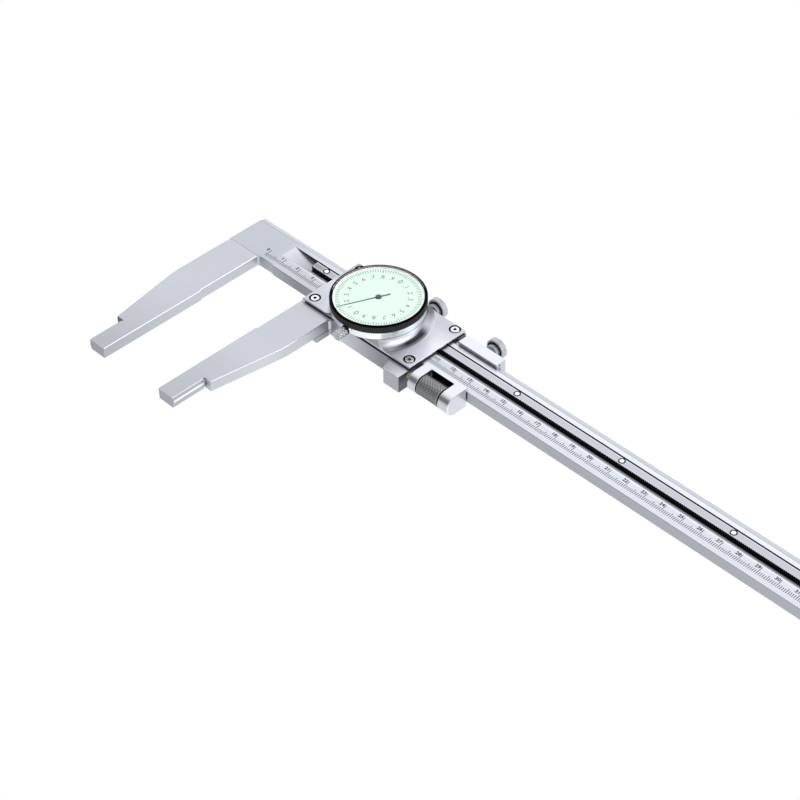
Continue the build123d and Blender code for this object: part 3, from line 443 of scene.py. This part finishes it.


# paint or paper with a fine mottle; tones scale its base by place, painted highlights among them, and glow
# adds a painted light that it gives off
def plain(name, colour, rough, metallic=0.0, spread=0.06, coat=0.0, specular=0.5,
          tones=None, blend=None, glow=0.0):
    s = plainSet
    material, tree, shader = newMaterial(name, metallic)
    shader.inputs["Coat Weight"].default_value = coat
    shader.inputs["Specular IOR Level"].default_value = specular
    grain = useGroup(tree, brushedGrain, Stretch=s["stretch"], Tone_Scale=s["toneScale"])
    base = mixColour(tree, spreadOf(tree, grain.outputs["Lines"], 0, 1), *shades(colour, spread))
    if tones:
        base = scaled(tree, base, tones(tree, pointOf(tree)))
    if blend:
        mask, other = blend(tree, pointOf(tree))
        base = mixColour(tree, mask, base, other)
    feed(tree, shader.inputs["Base Color"], base)
    # a painted glow: the surface gives off light though it is no lamp
    if glow:
        feed(tree, shader.inputs["Emission Color"], base)
        shader.inputs["Emission Strength"].default_value = glow
    roughness = spreadOf(tree, grain.outputs["Tone"], rough - s["roughSpread"], rough + s["roughSpread"])
    feed(tree, shader.inputs["Roughness"], roughness)
    addBump(tree, shader, grain.outputs["Lines"], s["bump"], grainDepth)
    return material


# gives a piece one material
def dress(piece, material):
    piece.data.materials.clear()
    piece.data.materials.append(material)


# puts a material on CAD nodes
def finish(names, material):
    for name in names:
        dress(nodes[name], material)


# a CAD piece's least and greatest coordinates, in millimetres
def boxOf(name):
    corners = nodes[name].bound_box
    return [[pick(corner[axis] for corner in corners) / mm for axis in range(3)] for pick in (min, max)]


# places that the tones keep to, in millimetres
beamLeast, beamGreatest = boxOf("beam")
beamEdge, beamFace = beamGreatest[1:]       # half the beam's width, and its scale face
nibShoulder = beamLeast[1] + 18.6           # where the nibs begin, from the jaws' tips
grooveNear, grooveFar = -2.4, 6.1           # the rack groove's walls
grooveHeights = (1.5, beamFace - 0.04)
rackStart = boxOf("rack")[0][0]
sliderNear, lugNear = -18.99, -25.05        # sides towards the jaws, of the slider and of its lug
sliderEnd = boxOf("slider_body")[1][0]
plateLow = boxOf("cover_plate")[0][2]
plateTop = plateLow + 1.75                  # where the skirt rises


# painted highlights on the chamfers along a jaw's measuring edge, and painted shading of its own on the
# shoulder behind its nib, which spans some X
def jawBoxes(shoulderSpan, shoulderTone):
    return [
        ({"Y": (None, -beamEdge - 0.25), "Z": (beamFace - 0.28, beamFace - 0.03, 0.01)}, 1.15),
        ({"Y": (nibShoulder - 0.07, nibShoulder + 0.07), "Z": (None, beamFace - 0.05), "X": shoulderSpan},
         shoulderTone),
    ]


# painted light and shade: lighter along the beam, darker in the tick zone, on the jaw, the ledge and in the
# groove
def beamTones(tree, point):
    x, y = point["X"], point["Y"]
    along = mathNode(tree, "ADD", ramp(tree, x, 5, 32, 0.66, 0.75), ramp(tree, x, 32, 180, 0, 0.17))
    byGroove = choose(tree, within(tree, y, -3, 0), 0.99, ramp(tree, x, 10, 40, 0.92, 1.18))
    across = choose(tree, ramp(tree, y, -3.7, -3.0, 1, 0), byGroove, ramp(tree, x, 8, 30, 0.96, 0.83))
    tone = mathNode(tree, "MULTIPLY", along, across)
    top = mathNode(tree, "MINIMUM", tone, ramp(tree, x, 4, 34, 0.57, 0.86))
    side = mathNode(tree, "MAXIMUM", ramp(tree, x, 12, 26, 0.54, 0.38), ramp(tree, x, 30, 110, 0.38, 0.60))
    bottom = paint(tree, point, ramp(tree, x, 8, 22, 0.78, 0.46),
                   [({"X": (rackStart - 0.2, None)}, ("Y", 0.5, 1.3, 0.62, 0.03))])
    return paint(tree, point, top, [
        ({"Y": (None, -beamEdge + 0.02)}, ("Y", -100, -58, 0.49, 0.60)),            # the jaw
        ({"Y": (-beamEdge - 0.02, -beamEdge + 0.02)}, side),                        # the near side
        *jawBoxes((None, -8), 0.16),
        # painted shade in the ledge's inner corner
        ({"Y": (8.5, None), "Z": (None, 5.3)}, ("Y", 9.05, 9.25, 0.30, 0.64)),      # the ledge
        # painted shade on the groove's bottom, darkest by the rack's teeth, and on its far wall
        ({"Y": (grooveNear, grooveFar - 0.05), "Z": grooveHeights}, bottom),        # the groove's bottom
        ({"Y": (grooveFar - 0.02, grooveFar + 0.05), "Z": grooveHeights}, 0.10),    # and its far wall
    ])


# the groove's floor is matt and the ground faces are not
def grooveMatt(tree, point):
    return insideBox(tree, point, {"X": (rackStart - 0.2, None), "Y": (grooveNear + 0.2, grooveFar - 0.05),
                                   "Z": (grooveHeights[0], 5.5)})


pinSet = {"first": 30.7, "spacing": 60.0, "row": 3.65}      # the rack pins' axes


# distance from the nearest rack pin's axis
def pinDistance(tree, point):
    half = pinSet["spacing"] / 2
    moved = mathNode(tree, "SUBTRACT", point["X"], pinSet["first"] - half)
    along = mathNode(tree, "SUBTRACT", mathNode(tree, "MODULO", moved, pinSet["spacing"]), half)
    return distance(tree, {"along": along, "Y": point["Y"]}, along=0.0, Y=pinSet["row"])


# painted shade round the bright middle of each rack pin
def pinTones(tree, point):
    return ramp(tree, pinDistance(tree, point), 0.95, 1.12, 1.0, 0.05)


# painted shade below the rack's top face and at its far side, painted highlights along its two upper edges,
# and a painted shadow on the top face near its start
def rackTones(tree, point):
    top = ramp(tree, point["X"], 26, 40, 0.38, 0.60)
    return paint(tree, point | {"pin": pinDistance(tree, point)}, top, [
        ({"Y": (1.75, 1.95)}, 0.76),                                    # the edge over the teeth
        ({"Y": (4.95, 5.25)}, 0.78),                                    # the edge by the far wall
        ({"Y": (5.33, None)}, 0.03),                                    # the gap to that wall
        ({"Z": (None, 5.72), "pin": (1.85, None, 0.1)}, 0.02),          # the teeth, and not the pins' holes
    ])


# the cover plate's screws stand at the corners of an oblong
plateScrews = {"middleX": 72.69, "middleY": -0.25, "halfX": 30.25, "halfY": 14.3, "bore": 2.8}


# distance from the nearest of the cover plate's screws
def screwDistance(tree, point):
    gaps = {}
    for axis in "XY":
        middle, half = plateScrews["middle" + axis], plateScrews["half" + axis]
        span = mathNode(tree, "ABSOLUTE", mathNode(tree, "SUBTRACT", point[axis], middle))
        gaps[axis] = mathNode(tree, "SUBTRACT", span, half)
    return distance(tree, gaps, X=0.0, Y=0.0)


# the skirt's painted reflections: pale near the camera, with a dark crescent towards the carriage, and a dim
# left side
def skirtTone(tree, point):
    x, y = point["X"], point["Y"]
    radius = distance(tree, point, X=dialX, Y=dialY)
    upper = ramp(tree, y, -13, 4, 1.45, 0.74)
    near = within(tree, mathNode(tree, "ADD", radius, ramp(tree, y, -13, 1, 0.0, 0.8)), None, 21.9, 0.9)
    dark = choose(tree, near, ramp(tree, radius, 23.5, 25.4, 0.045, 0.48), upper)
    pale = choose(tree, within(tree, radius, None, 22.4, 1.0), 0.66, upper)
    forward = mathNode(tree, "DIVIDE", mathNode(tree, "SUBTRACT", x, dialX), radius)
    crescent = mathNode(tree, "MULTIPLY", ramp(tree, forward, 0.85, 0.98, 0, 1),
                        ramp(tree, y, 7.0, 2.5, 0, 1))
    skirtReflection = mathNode(tree, "MULTIPLY", choose(tree, crescent, pale, dark),
                      ramp(tree, x, 87.5, 93, 0.30, 1.0))
    return paint(tree, point, skirtReflection, [({"X": (None, 58.5, 1.0)}, 0.66)])


# painted light and shade: lightest along the middle, with painted shade, black, in the rebate and round the
# screws' heads
def plateTones(tree, point):
    flat = paint(tree, point, ramp(tree, point["Y"], -16, -2, 0.80, 0.95),
                 [({"Y": (-2, None, 8)}, ("Y", 0, 12, 0.95, 0.66))])
    flat = mathNode(tree, "MULTIPLY", flat, ramp(tree, point["X"], 44, 66, 0.80, 1.0))
    return paint(tree, point | {"screw": screwDistance(tree, point)}, flat, [
        ({"Z": (plateTop + 0.06, None)}, skirtTone(tree, point)),
        ({"Z": (None, plateLow + 0.95)}, 0.05),                                         # the rebate
        ({"screw": (None, plateScrews["bore"]), "Z": (None, plateTop + 0.1)}, 0.02),    # the bores
    ])


def skirtPart(tree, point):
    return within(tree, point["Z"], plateTop + 0.03, None, 0.02)


# painted light and shade: a bright streak on the nib's back, a painted highlight; darker at the jaw's root, a
# painted reflection, and on the side towards the carriage, painted shade
def sliderTones(tree, point):
    x, y = point["X"], point["Y"]
    jaw = mathNode(tree, "MAXIMUM", ramp(tree, y, -98, -60, 0.51, 0.61),
                   ramp(tree, y, -103, -102.5, 0.60, 0))
    side = mathNode(tree, "MINIMUM", ramp(tree, x, 50, 64, 0.42, 0.82), ramp(tree, x, 65, 90, 0.82, 0.36))
    nibBack = {"Y": (-102.5, nibShoulder - 0.15), "X": (45.5, None), "Z": (3.2, 3.9, 0.2)}
    jawRoot = {"X": (49, 57), "Z": (None, 5.5), "Y": (-36, -20)}
    lugTop = {"Y": (lugNear - 0.15, sliderNear - 0.11), "Z": (beamFace - 0.1, 5.9), "X": (90, None)}
    return paint(tree, point, jaw, [
        (nibBack, 1.2),
        *jawBoxes((45, None), 0.74),
        ({"Y": (lugNear - 0.15, None)}, 0.60),                     # the body
        (jawRoot, ("Y", -34, -22, 0.60, 0.27)),
        (lugTop, 0.90),
        ({"Y": (sliderNear - 0.06, sliderNear + 0.09)}, side),
        ({"X": (sliderEnd - 0.35, None)}, 0.12),                    # the end towards the carriage
    ])


# painted light and shade: black in the nut's window, the cheeks lighter in front, the end face a little
# darker
def carriageTones(tree, point):
    return paint(tree, point, 1.0, [
        ({"X": (134.3, None)}, 0.88),                                                   # the end face
        ({"X": (132.8, 133.3), "Y": (9, None)}, 0.78),                                  # the rail's end
        ({"Z": (5.7, 6.6, 0.5), "Y": (-23, -20.8, 0.3)}, 0.78),                         # the cheeks' shoulder
        ({"Z": (None, 5.0, 0.5), "Y": (None, -22.4, 0.2)}, 1.28),                       # the cheeks' front
        ({"X": (115.15, 128.6), "Y": (-24, -12.66)}, 0.04),                             # the window
    ])


# painted shade, black, in the screws' sockets
def socketTones(tree, point):
    return paint(tree, point, 1.0, [({"Z": (None, plateTop - 0.25)}, 0.02)])


# white inside the glass, black outside with painted highlights on the ridges
def bezelTones(tree, point):
    radius = distance(tree, point, X=dialX, Y=dialY)
    ridges = mathNode(tree, "MULTIPLY", ramp(tree, radius, 21.87, 21.96, 0, 0.06),
                      within(tree, point["Z"], 10, 19.6, 0.15))
    return paint(tree, point | {"radius": radius}, mathNode(tree, "ADD", ridges, 0.001), [
        ({"radius": (20.6, 21.10), "Z": (18.2, 20.12)}, 1.0),
    ])


# painted light and shade: lighter to the right, with painted shade at the seam below the ring, and black
# round the boss of the bezel's screw
def ringTones(tree, point):
    return paint(tree, point, ramp(tree, point["X"], 56, 62, 0.25, 0.80), [
        ({"X": (62, None, 1)}, ("X", 62, 84, 0.80, 1.12)),
        ({"Z": (12.3, 12.85)}, 0.42),                                                   # the seam
        ({"X": (71, 78), "Y": (dialY - 23, dialY - 21.85)}, 0.05),                      # the boss
    ])


# the face is white outside its ticks
def faceBand(tree, point):
    return within(tree, distance(tree, point, X=dialX, Y=dialY), 19.65, None), (0.96, 0.97, 0.96)


# painted shade, black, in the ring turned into the near side of a clamping screw's head, which starts at a Y
def clampTones(axisX, axisZ, head):
    def tones(tree, point):
        radius = distance(tree, point, X=axisX, Z=axisZ)
        return paint(tree, point | {"radius": radius}, 1.0,
                     [({"radius": (3.3, 4.25), "Y": (head + 0.05, head + 0.8)}, 0.05)])
    return tones


# the bezel's screw: its axis lies a small turn off the Y axis, its end this far from the dial's axis
bezelScrewSet = {"turn": math.radians(4.5), "end": 29.25, "level": 14.45, "x": 74.81}


# the flat end of the bezel's screw
def screwEnd(tree, point):
    s = bezelScrewSet
    side = mathNode(tree, "MULTIPLY", mathNode(tree, "SUBTRACT", point["X"], dialX), math.sin(s["turn"]))
    out = mathNode(tree, "MULTIPLY", mathNode(tree, "SUBTRACT", dialY, point["Y"]), math.cos(s["turn"]))
    return ramp(tree, mathNode(tree, "ADD", side, out), s["end"] - 0.12, s["end"] - 0.06, 0, 1)


# painted highlights on the rims at the nut's ends, and its knurled middle darker towards the bottom
def nutTones(tree, point):
    return paint(tree, point, 2.4, [({"X": (115.95, 127.1)}, ("Z", 0.5, 3.0, 0.45, 1.0))])


cool = (0.795, 0.818, 0.872)
screwSilver = (0.72, 0.72, 0.73)
dialAxis = (*dialCentre, 0)
satin = {"rough": 0.36, "spread": 0.015, "bump": 0.05}
finish(["beam"], steel("beamSatin", cool, **satin, tones=beamTones, matt=grooveMatt))
finish(["slider_body"], steel("sliderSatin", cool, **satin, tones=sliderTones))
finish(["rack"], steel("rackGround", cool, 0.36, tones=rackTones))
finish(["end_stop"], steel("stopSatin", (0.66, 0.69, 0.73), 0.34, stretch=(1500, 20, 1500)))
finish(["cover_plate"], steel("plateBrushed", cool, 0.42, stretch=(1500, 20, 1500), spread=0.03,
                              tones=plateTones, polished=skirtPart))
finish(["carriage"], steel("carriageSatin", (0.675, 0.69, 0.72), 0.30, stretch=(2400, 2400, 2400),
                           spread=0.01, bump=0.02, tones=carriageTones))
finish(["slider_gib", "movement_plate", "movement_bridge", "bridge_pillars", "drive_wheel", "takeup_wheel",
        "carriage_gib"], steel("movementBrass", (0.80, 0.62, 0.30), 0.28, stretch=(900, 900, 40)))
finish(["rack_pins"], turnedMetal("rackPinSteel", (0.88, 0.89, 0.91), 0.34, tones=pinTones))
finish(["lug_pin", "carriage_gib_pin"], turnedMetal("pinSteel", (0.70, 0.71, 0.73), 0.34))
finish(["end_stop_screws", "gib_screws", "bridge_screws"], turnedMetal("screwSteel", screwSilver, 0.22))
finish(["plate_screws"], turnedMetal("socketScrewSteel", screwSilver, 0.22, tones=socketTones))
finish(["case_ring"], turnedMetal("caseSilver", (0.84, 0.855, 0.88), 0.26, dialAxis, tones=ringTones))
finish(["face_ring"], turnedMetal("ringPolished", (0.97, 0.98, 0.97), 0.16, dialAxis))
finish(["bearing_bushes", "takeup_spring"], turnedMetal("springBronze", (0.78, 0.52, 0.30), 0.28, dialAxis))
finish(["rack_arbor", "centre_arbor"], turnedMetal("arborSteel", (0.55, 0.56, 0.58), 0.25, dialAxis))
finish(["pointer"], plain("pointerDark", (0.10, 0.11, 0.125), 0.35, metallic=0.6, coat=0.2))
finish(["bezel"], plain("bezelBlack", (0.94, 0.94, 0.93), 0.42, specular=0.025, spread=0.02,
                        tones=bezelTones))
# the face's glow is painted light that brightens it beyond what the studio gives
finish(["dial_face"], plain("facePaper", (0.775, 0.955, 0.845), 0.55, spread=0.01, blend=faceBand,
                            glow=0.04))
finish(["nut_washer"], plain("washerBlack", (0.02, 0.02, 0.02), 0.4))
finish(["fine_adjust_screw"], knurled("threadedBrass", (0.90, 0.84, 0.70), (0.50, 0.45, 0.34), 0.25,
                                      (0, *nutAxis), count=1.0, pitch=0.0005, alongX=1.0))
finish(["adjust_nut"], knurled("nutKnurl", (0.66, 0.66, 0.665), (0.05, 0.05, 0.052), 0.30,
                               (0, *nutAxis), count=32.0, pitch=0.001, alongX=1.0, tones=nutTones))
finish(["bezel_screw"], knurled("bezelScrewKnurl", (0.98, 0.985, 1.0), (0.42, 0.43, 0.44), 0.25,
                                (bezelScrewSet["x"] * mm, 0, bezelScrewSet["level"] * mm),
                                count=10.0, pitch=0.0016, alongX=0.0, depth=0.0002, ends=screwEnd))
for name, head in (("slider_clamp", 21.7), ("carriage_clamp", 20.0)):
    axisX, _, axisZ = pivots[name + "_turn"]
    finish([name + "_screw"], knurled(name + "_screwKnurl", (0.70, 0.72, 0.75), (0.35, 0.36, 0.38), 0.28,
                                      (axisX, 0, axisZ), count=45.0, pitch=0.0009, alongX=0.0,
                                      tones=clampTones(axisX / mm, axisZ / mm, head)))

glass, tree, shader = newMaterial("crystalClear", 0.0)
shader.inputs["Base Color"].default_value = (1, 1, 1, 1)
shader.inputs["Transmission Weight"].default_value = 1.0
shader.inputs["IOR"].default_value = 1.02
mottle = useGroup(tree, brushedGrain, Stretch=(60, 60, 60), Tone_Scale=20.0)
feed(tree, shader.inputs["Roughness"], spreadOf(tree, mottle.outputs["Tone"], 0.0, 0.02))
finish(["crystal"], glass)
print("materials placed")


# beam scale: filled ticks and numerals, in millimetres; a long tick, with its number, every spacing
scaleSet = {"zero": 1.3, "numbered": 51, "spacing": 10, "line": 0.30,
            "low": -8.15, "short": -6.1, "half": -5.3, "long": -3.43,                       # ticks' ends
            "numeralY": -4.25, "numeralSize": 2.5, "numeralBack": 1.72, "bold": 0.08}
inkThick = 0.012 * mm
inkBlack = plain("scaleInk", (0.02, 0.037, 0.04), 0.6, spread=0.1, specular=0.2)


# thickens flat print upwards
def raisePrint(flat):
    deselectAll()
    flat.select_set(True)
    bpy.context.view_layer.objects.active = flat
    bpy.ops.object.mode_set(mode="EDIT")
    bpy.ops.mesh.select_all(action="SELECT")
    bpy.ops.mesh.extrude_region_move(TRANSFORM_OT_translate={"value": (0, 0, inkThick)})
    bpy.ops.object.mode_set(mode="OBJECT")


# one flat line shaped from a plane, centred on its place, with its sizes along X and Y before the turn
def flatLine(place, sizes, turn=0.0):
    deselectAll()
    bpy.ops.mesh.primitive_plane_add(size=1, location=place, rotation=(0, 0, turn))
    line = bpy.context.object
    line.scale = (*sizes, 1)
    bpy.ops.object.transform_apply(location=True, rotation=True, scale=True)
    return line


# one tick of the beam's scale, repeated at the spacing
def tickRow(x, top, count):
    s = scaleSet
    place = (x * mm, (s["low"] + top) / 2 * mm, beamFace * mm)
    tick = flatLine(place, (s["line"] * mm, (top - s["low"]) * mm))
    raisePrint(tick)
    repeat = tick.modifiers.new("repeat", "ARRAY")
    repeat.count = count
    repeat.use_relative_offset = False
    repeat.use_constant_offset = True
    repeat.constant_offset_displace = (s["spacing"] * mm, 0, 0)
    bpy.ops.object.modifier_apply(modifier="repeat")
    return tick


# a plain numeral as a mesh, centred on its place; place and sizes in metres
def numeral(text, place, size, turn=0.0, bold=0.0):
    x, y, z = place
    deselectAll()
    bpy.ops.object.text_add(location=(0, 0, 0))
    mark = bpy.context.object
    mark.data.body = text
    mark.data.align_x = "CENTER"
    mark.data.align_y = "CENTER"
    mark.data.size = size
    mark.data.offset = bold
    mark.data.resolution_u = 3
    mark.data.extrude = inkThick / 2
    bpy.ops.object.convert(target="MESH")
    mark = bpy.context.object
    mark.rotation_euler = (0, 0, turn)
    mark.location = (x, y, z + inkThick / 2)
    bpy.ops.object.transform_apply(location=True, rotation=True, scale=True)
    return mark


# joins pieces into one of a name and a material
def joined(name, pieces, material):
    deselectAll()
    for piece in pieces:
        piece.select_set(True)
    bpy.context.view_layer.objects.active = pieces[0]
    bpy.ops.object.join()
    made = bpy.context.object
    made.name = name
    made.data.name = name
    dress(made, material)
    return made


def beamScale():
    s = scaleSet
    marks = [tickRow(s["zero"], s["long"], s["numbered"])]
    for k in range(1, s["spacing"]):
        top = s["half"] if k == s["spacing"] // 2 else s["short"]
        marks.append(tickRow(s["zero"] + k, top, s["numbered"] - 1))
    for k in range(s["numbered"]):
        x = s["zero"] + s["spacing"] * k - s["numeralBack"]
        place = (x * mm, s["numeralY"] * mm, beamFace * mm)
        marks.append(numeral(str(k), place, s["numeralSize"] * mm, bold=s["bold"] * mm))
    made = joined("beam_scale", marks, inkBlack)
    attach(made, "beam_assembly")


beamScale()
print("beam scale made")

# dial print: radii and levels in millimetres, the zero's turn in degrees
dialSet = {"low": 18.15, "level": 19.1, "radius": 20.85, "sides": 160,
           "inRing": 20.53, "step": 18.64,                                  # where the face ring stands
           "bore": 0.8, "sink": 1.5, "sinkDepth": 0.45,                     # round the pointer's boss
           "divisions": 100, "minor": 17.75, "major": 17.2, "outer": 19.4, "line": 0.30,
           "numerals": 20, "numeralRadius": 14.25, "size": 3.3, "zeroSize": 4.1, "turn": 3.0}
printGreen = plain("dialPrint", (0.24, 0.38, 0.29), 0.6, spread=0.05)
printGrey = plain("dialNumerals", (0.16, 0.20, 0.18), 0.6, spread=0.05)


# ring turned about an upright axis: a circle drawn up, out and back to its start
def turnedRing(name, centre, profile, sides):
    deselectAll()
    radius, level = profile[0]
    bpy.ops.mesh.primitive_circle_add(vertices=sides, radius=radius * mm, location=(0, 0, level * mm))
    ring = bpy.context.object
    ring.name = name
    bpy.ops.object.transform_apply(location=True, rotation=True, scale=True)
    bpy.ops.object.mode_set(mode="EDIT")
    bpy.ops.mesh.select_all(action="SELECT")
    for nextRadius, nextLevel in profile[1:] + profile[:1]:
        rise = (0, 0, (nextLevel - level) * mm)
        bpy.ops.mesh.extrude_region_move(TRANSFORM_OT_translate={"value": rise})
        grow = nextRadius / radius
        bpy.ops.transform.resize(value=(grow, grow, 1), center_override=(0, 0, nextLevel * mm))
        radius, level = nextRadius, nextLevel
    bpy.ops.mesh.select_all(action="SELECT")
    bpy.ops.mesh.remove_doubles(threshold=0.001 * mm)
    bpy.ops.mesh.normals_make_consistent(inside=False)
    bpy.ops.object.mode_set(mode="OBJECT")
    ring.location = (*centre, 0)
    bpy.ops.object.transform_apply(location=True, rotation=True, scale=True)
    bpy.ops.object.shade_smooth_by_angle(angle=math.radians(30))
    return ring


# direction of the dial's mark k of a count, clockwise from zero
def dialAngle(k, count):
    return math.radians(90 + dialSet["turn"] - 360 / count * k)


# place on the dial at a radius and an angle, in metres
def dialPlace(radius, angle):
    x, y = dialCentre
    return x + radius * mm * math.cos(angle), y + radius * mm * math.sin(angle), dialSet["level"] * mm


# dial face with its print close below the glass and a sunk middle for the pointer's boss
def dialPlate():
    s = dialSet
    sunk = s["level"] - s["sinkDepth"]
    profile = [(s["bore"], s["low"]), (s["bore"], sunk), (s["sink"], sunk), (s["sink"], s["level"]),
               (s["inRing"], s["level"]), (s["inRing"], s["step"]), (s["radius"], s["step"]),
               (s["radius"], s["low"])]
    plate = turnedRing("dial_plate", dialCentre, profile, s["sides"])
    dress(plate, bpy.data.materials["facePaper"])
    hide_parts("dial_face")
    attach(plate, "bezel_assembly")


def dialTicks():
    s = dialSet
    marks = []
    for k in range(s["divisions"]):
        angle = dialAngle(k, s["divisions"])
        inner = s["major"] if k % 10 == 0 else s["minor"]
        place = dialPlace((inner + s["outer"]) / 2, angle)
        sizes = ((s["outer"] - inner) * mm, s["line"] * mm)
        marks.append(flatLine(place, sizes, angle))
    ticks = joined("dial_ticks", marks, printGreen)
    raisePrint(ticks)
    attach(ticks, "bezel_assembly")


def dialNumerals():
    s = dialSet
    marks = []
    for k in range(s["numerals"]):
        angle = dialAngle(k, s["numerals"])
        digit = k % 10
        text = str(digit) if digit == 0 else "." + str(digit)
        size = s["zeroSize"] if digit == 0 else s["size"]
        place = dialPlace(s["numeralRadius"], angle)
        marks.append(numeral(text, place, size * mm, turn=angle - math.pi / 2))
    made = joined("dial_numerals", marks, printGrey)
    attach(made, "bezel_assembly")


dialPlate()
dialTicks()
dialNumerals()
print("dial print made")

# floor: white where the camera sees it, left out of the metal's reflections
floorSet = {"size": 6.0, "place": (0.2, 0, -3.05 * mm), "cuts": 3}
deselectAll()
bpy.ops.mesh.primitive_plane_add(size=floorSet["size"], location=floorSet["place"])
floor = bpy.context.object
floor.name = "floor"
bpy.ops.object.transform_apply(location=True, rotation=True, scale=True)
bpy.ops.object.mode_set(mode="EDIT")
bpy.ops.mesh.select_all(action="SELECT")
bpy.ops.mesh.subdivide(number_cuts=floorSet["cuts"])
bpy.ops.object.mode_set(mode="OBJECT")
floor.visible_glossy = False
floor.visible_diffuse = False
floor.visible_shadow = False
floorPaper = bpy.data.materials.new("floorPaper")
floorPaper.use_nodes = True
paperTree = floorPaper.node_tree
paperTree.nodes.clear()
white = addNode(paperTree, "ShaderNodeEmission")
feed(paperTree, white.inputs["Color"], (1, 1, 1, 1))
feed(paperTree, addNode(paperTree, "ShaderNodeOutputMaterial").inputs["Surface"], white.outputs[0])
floor.data.materials.append(floorPaper)
print("floor made")
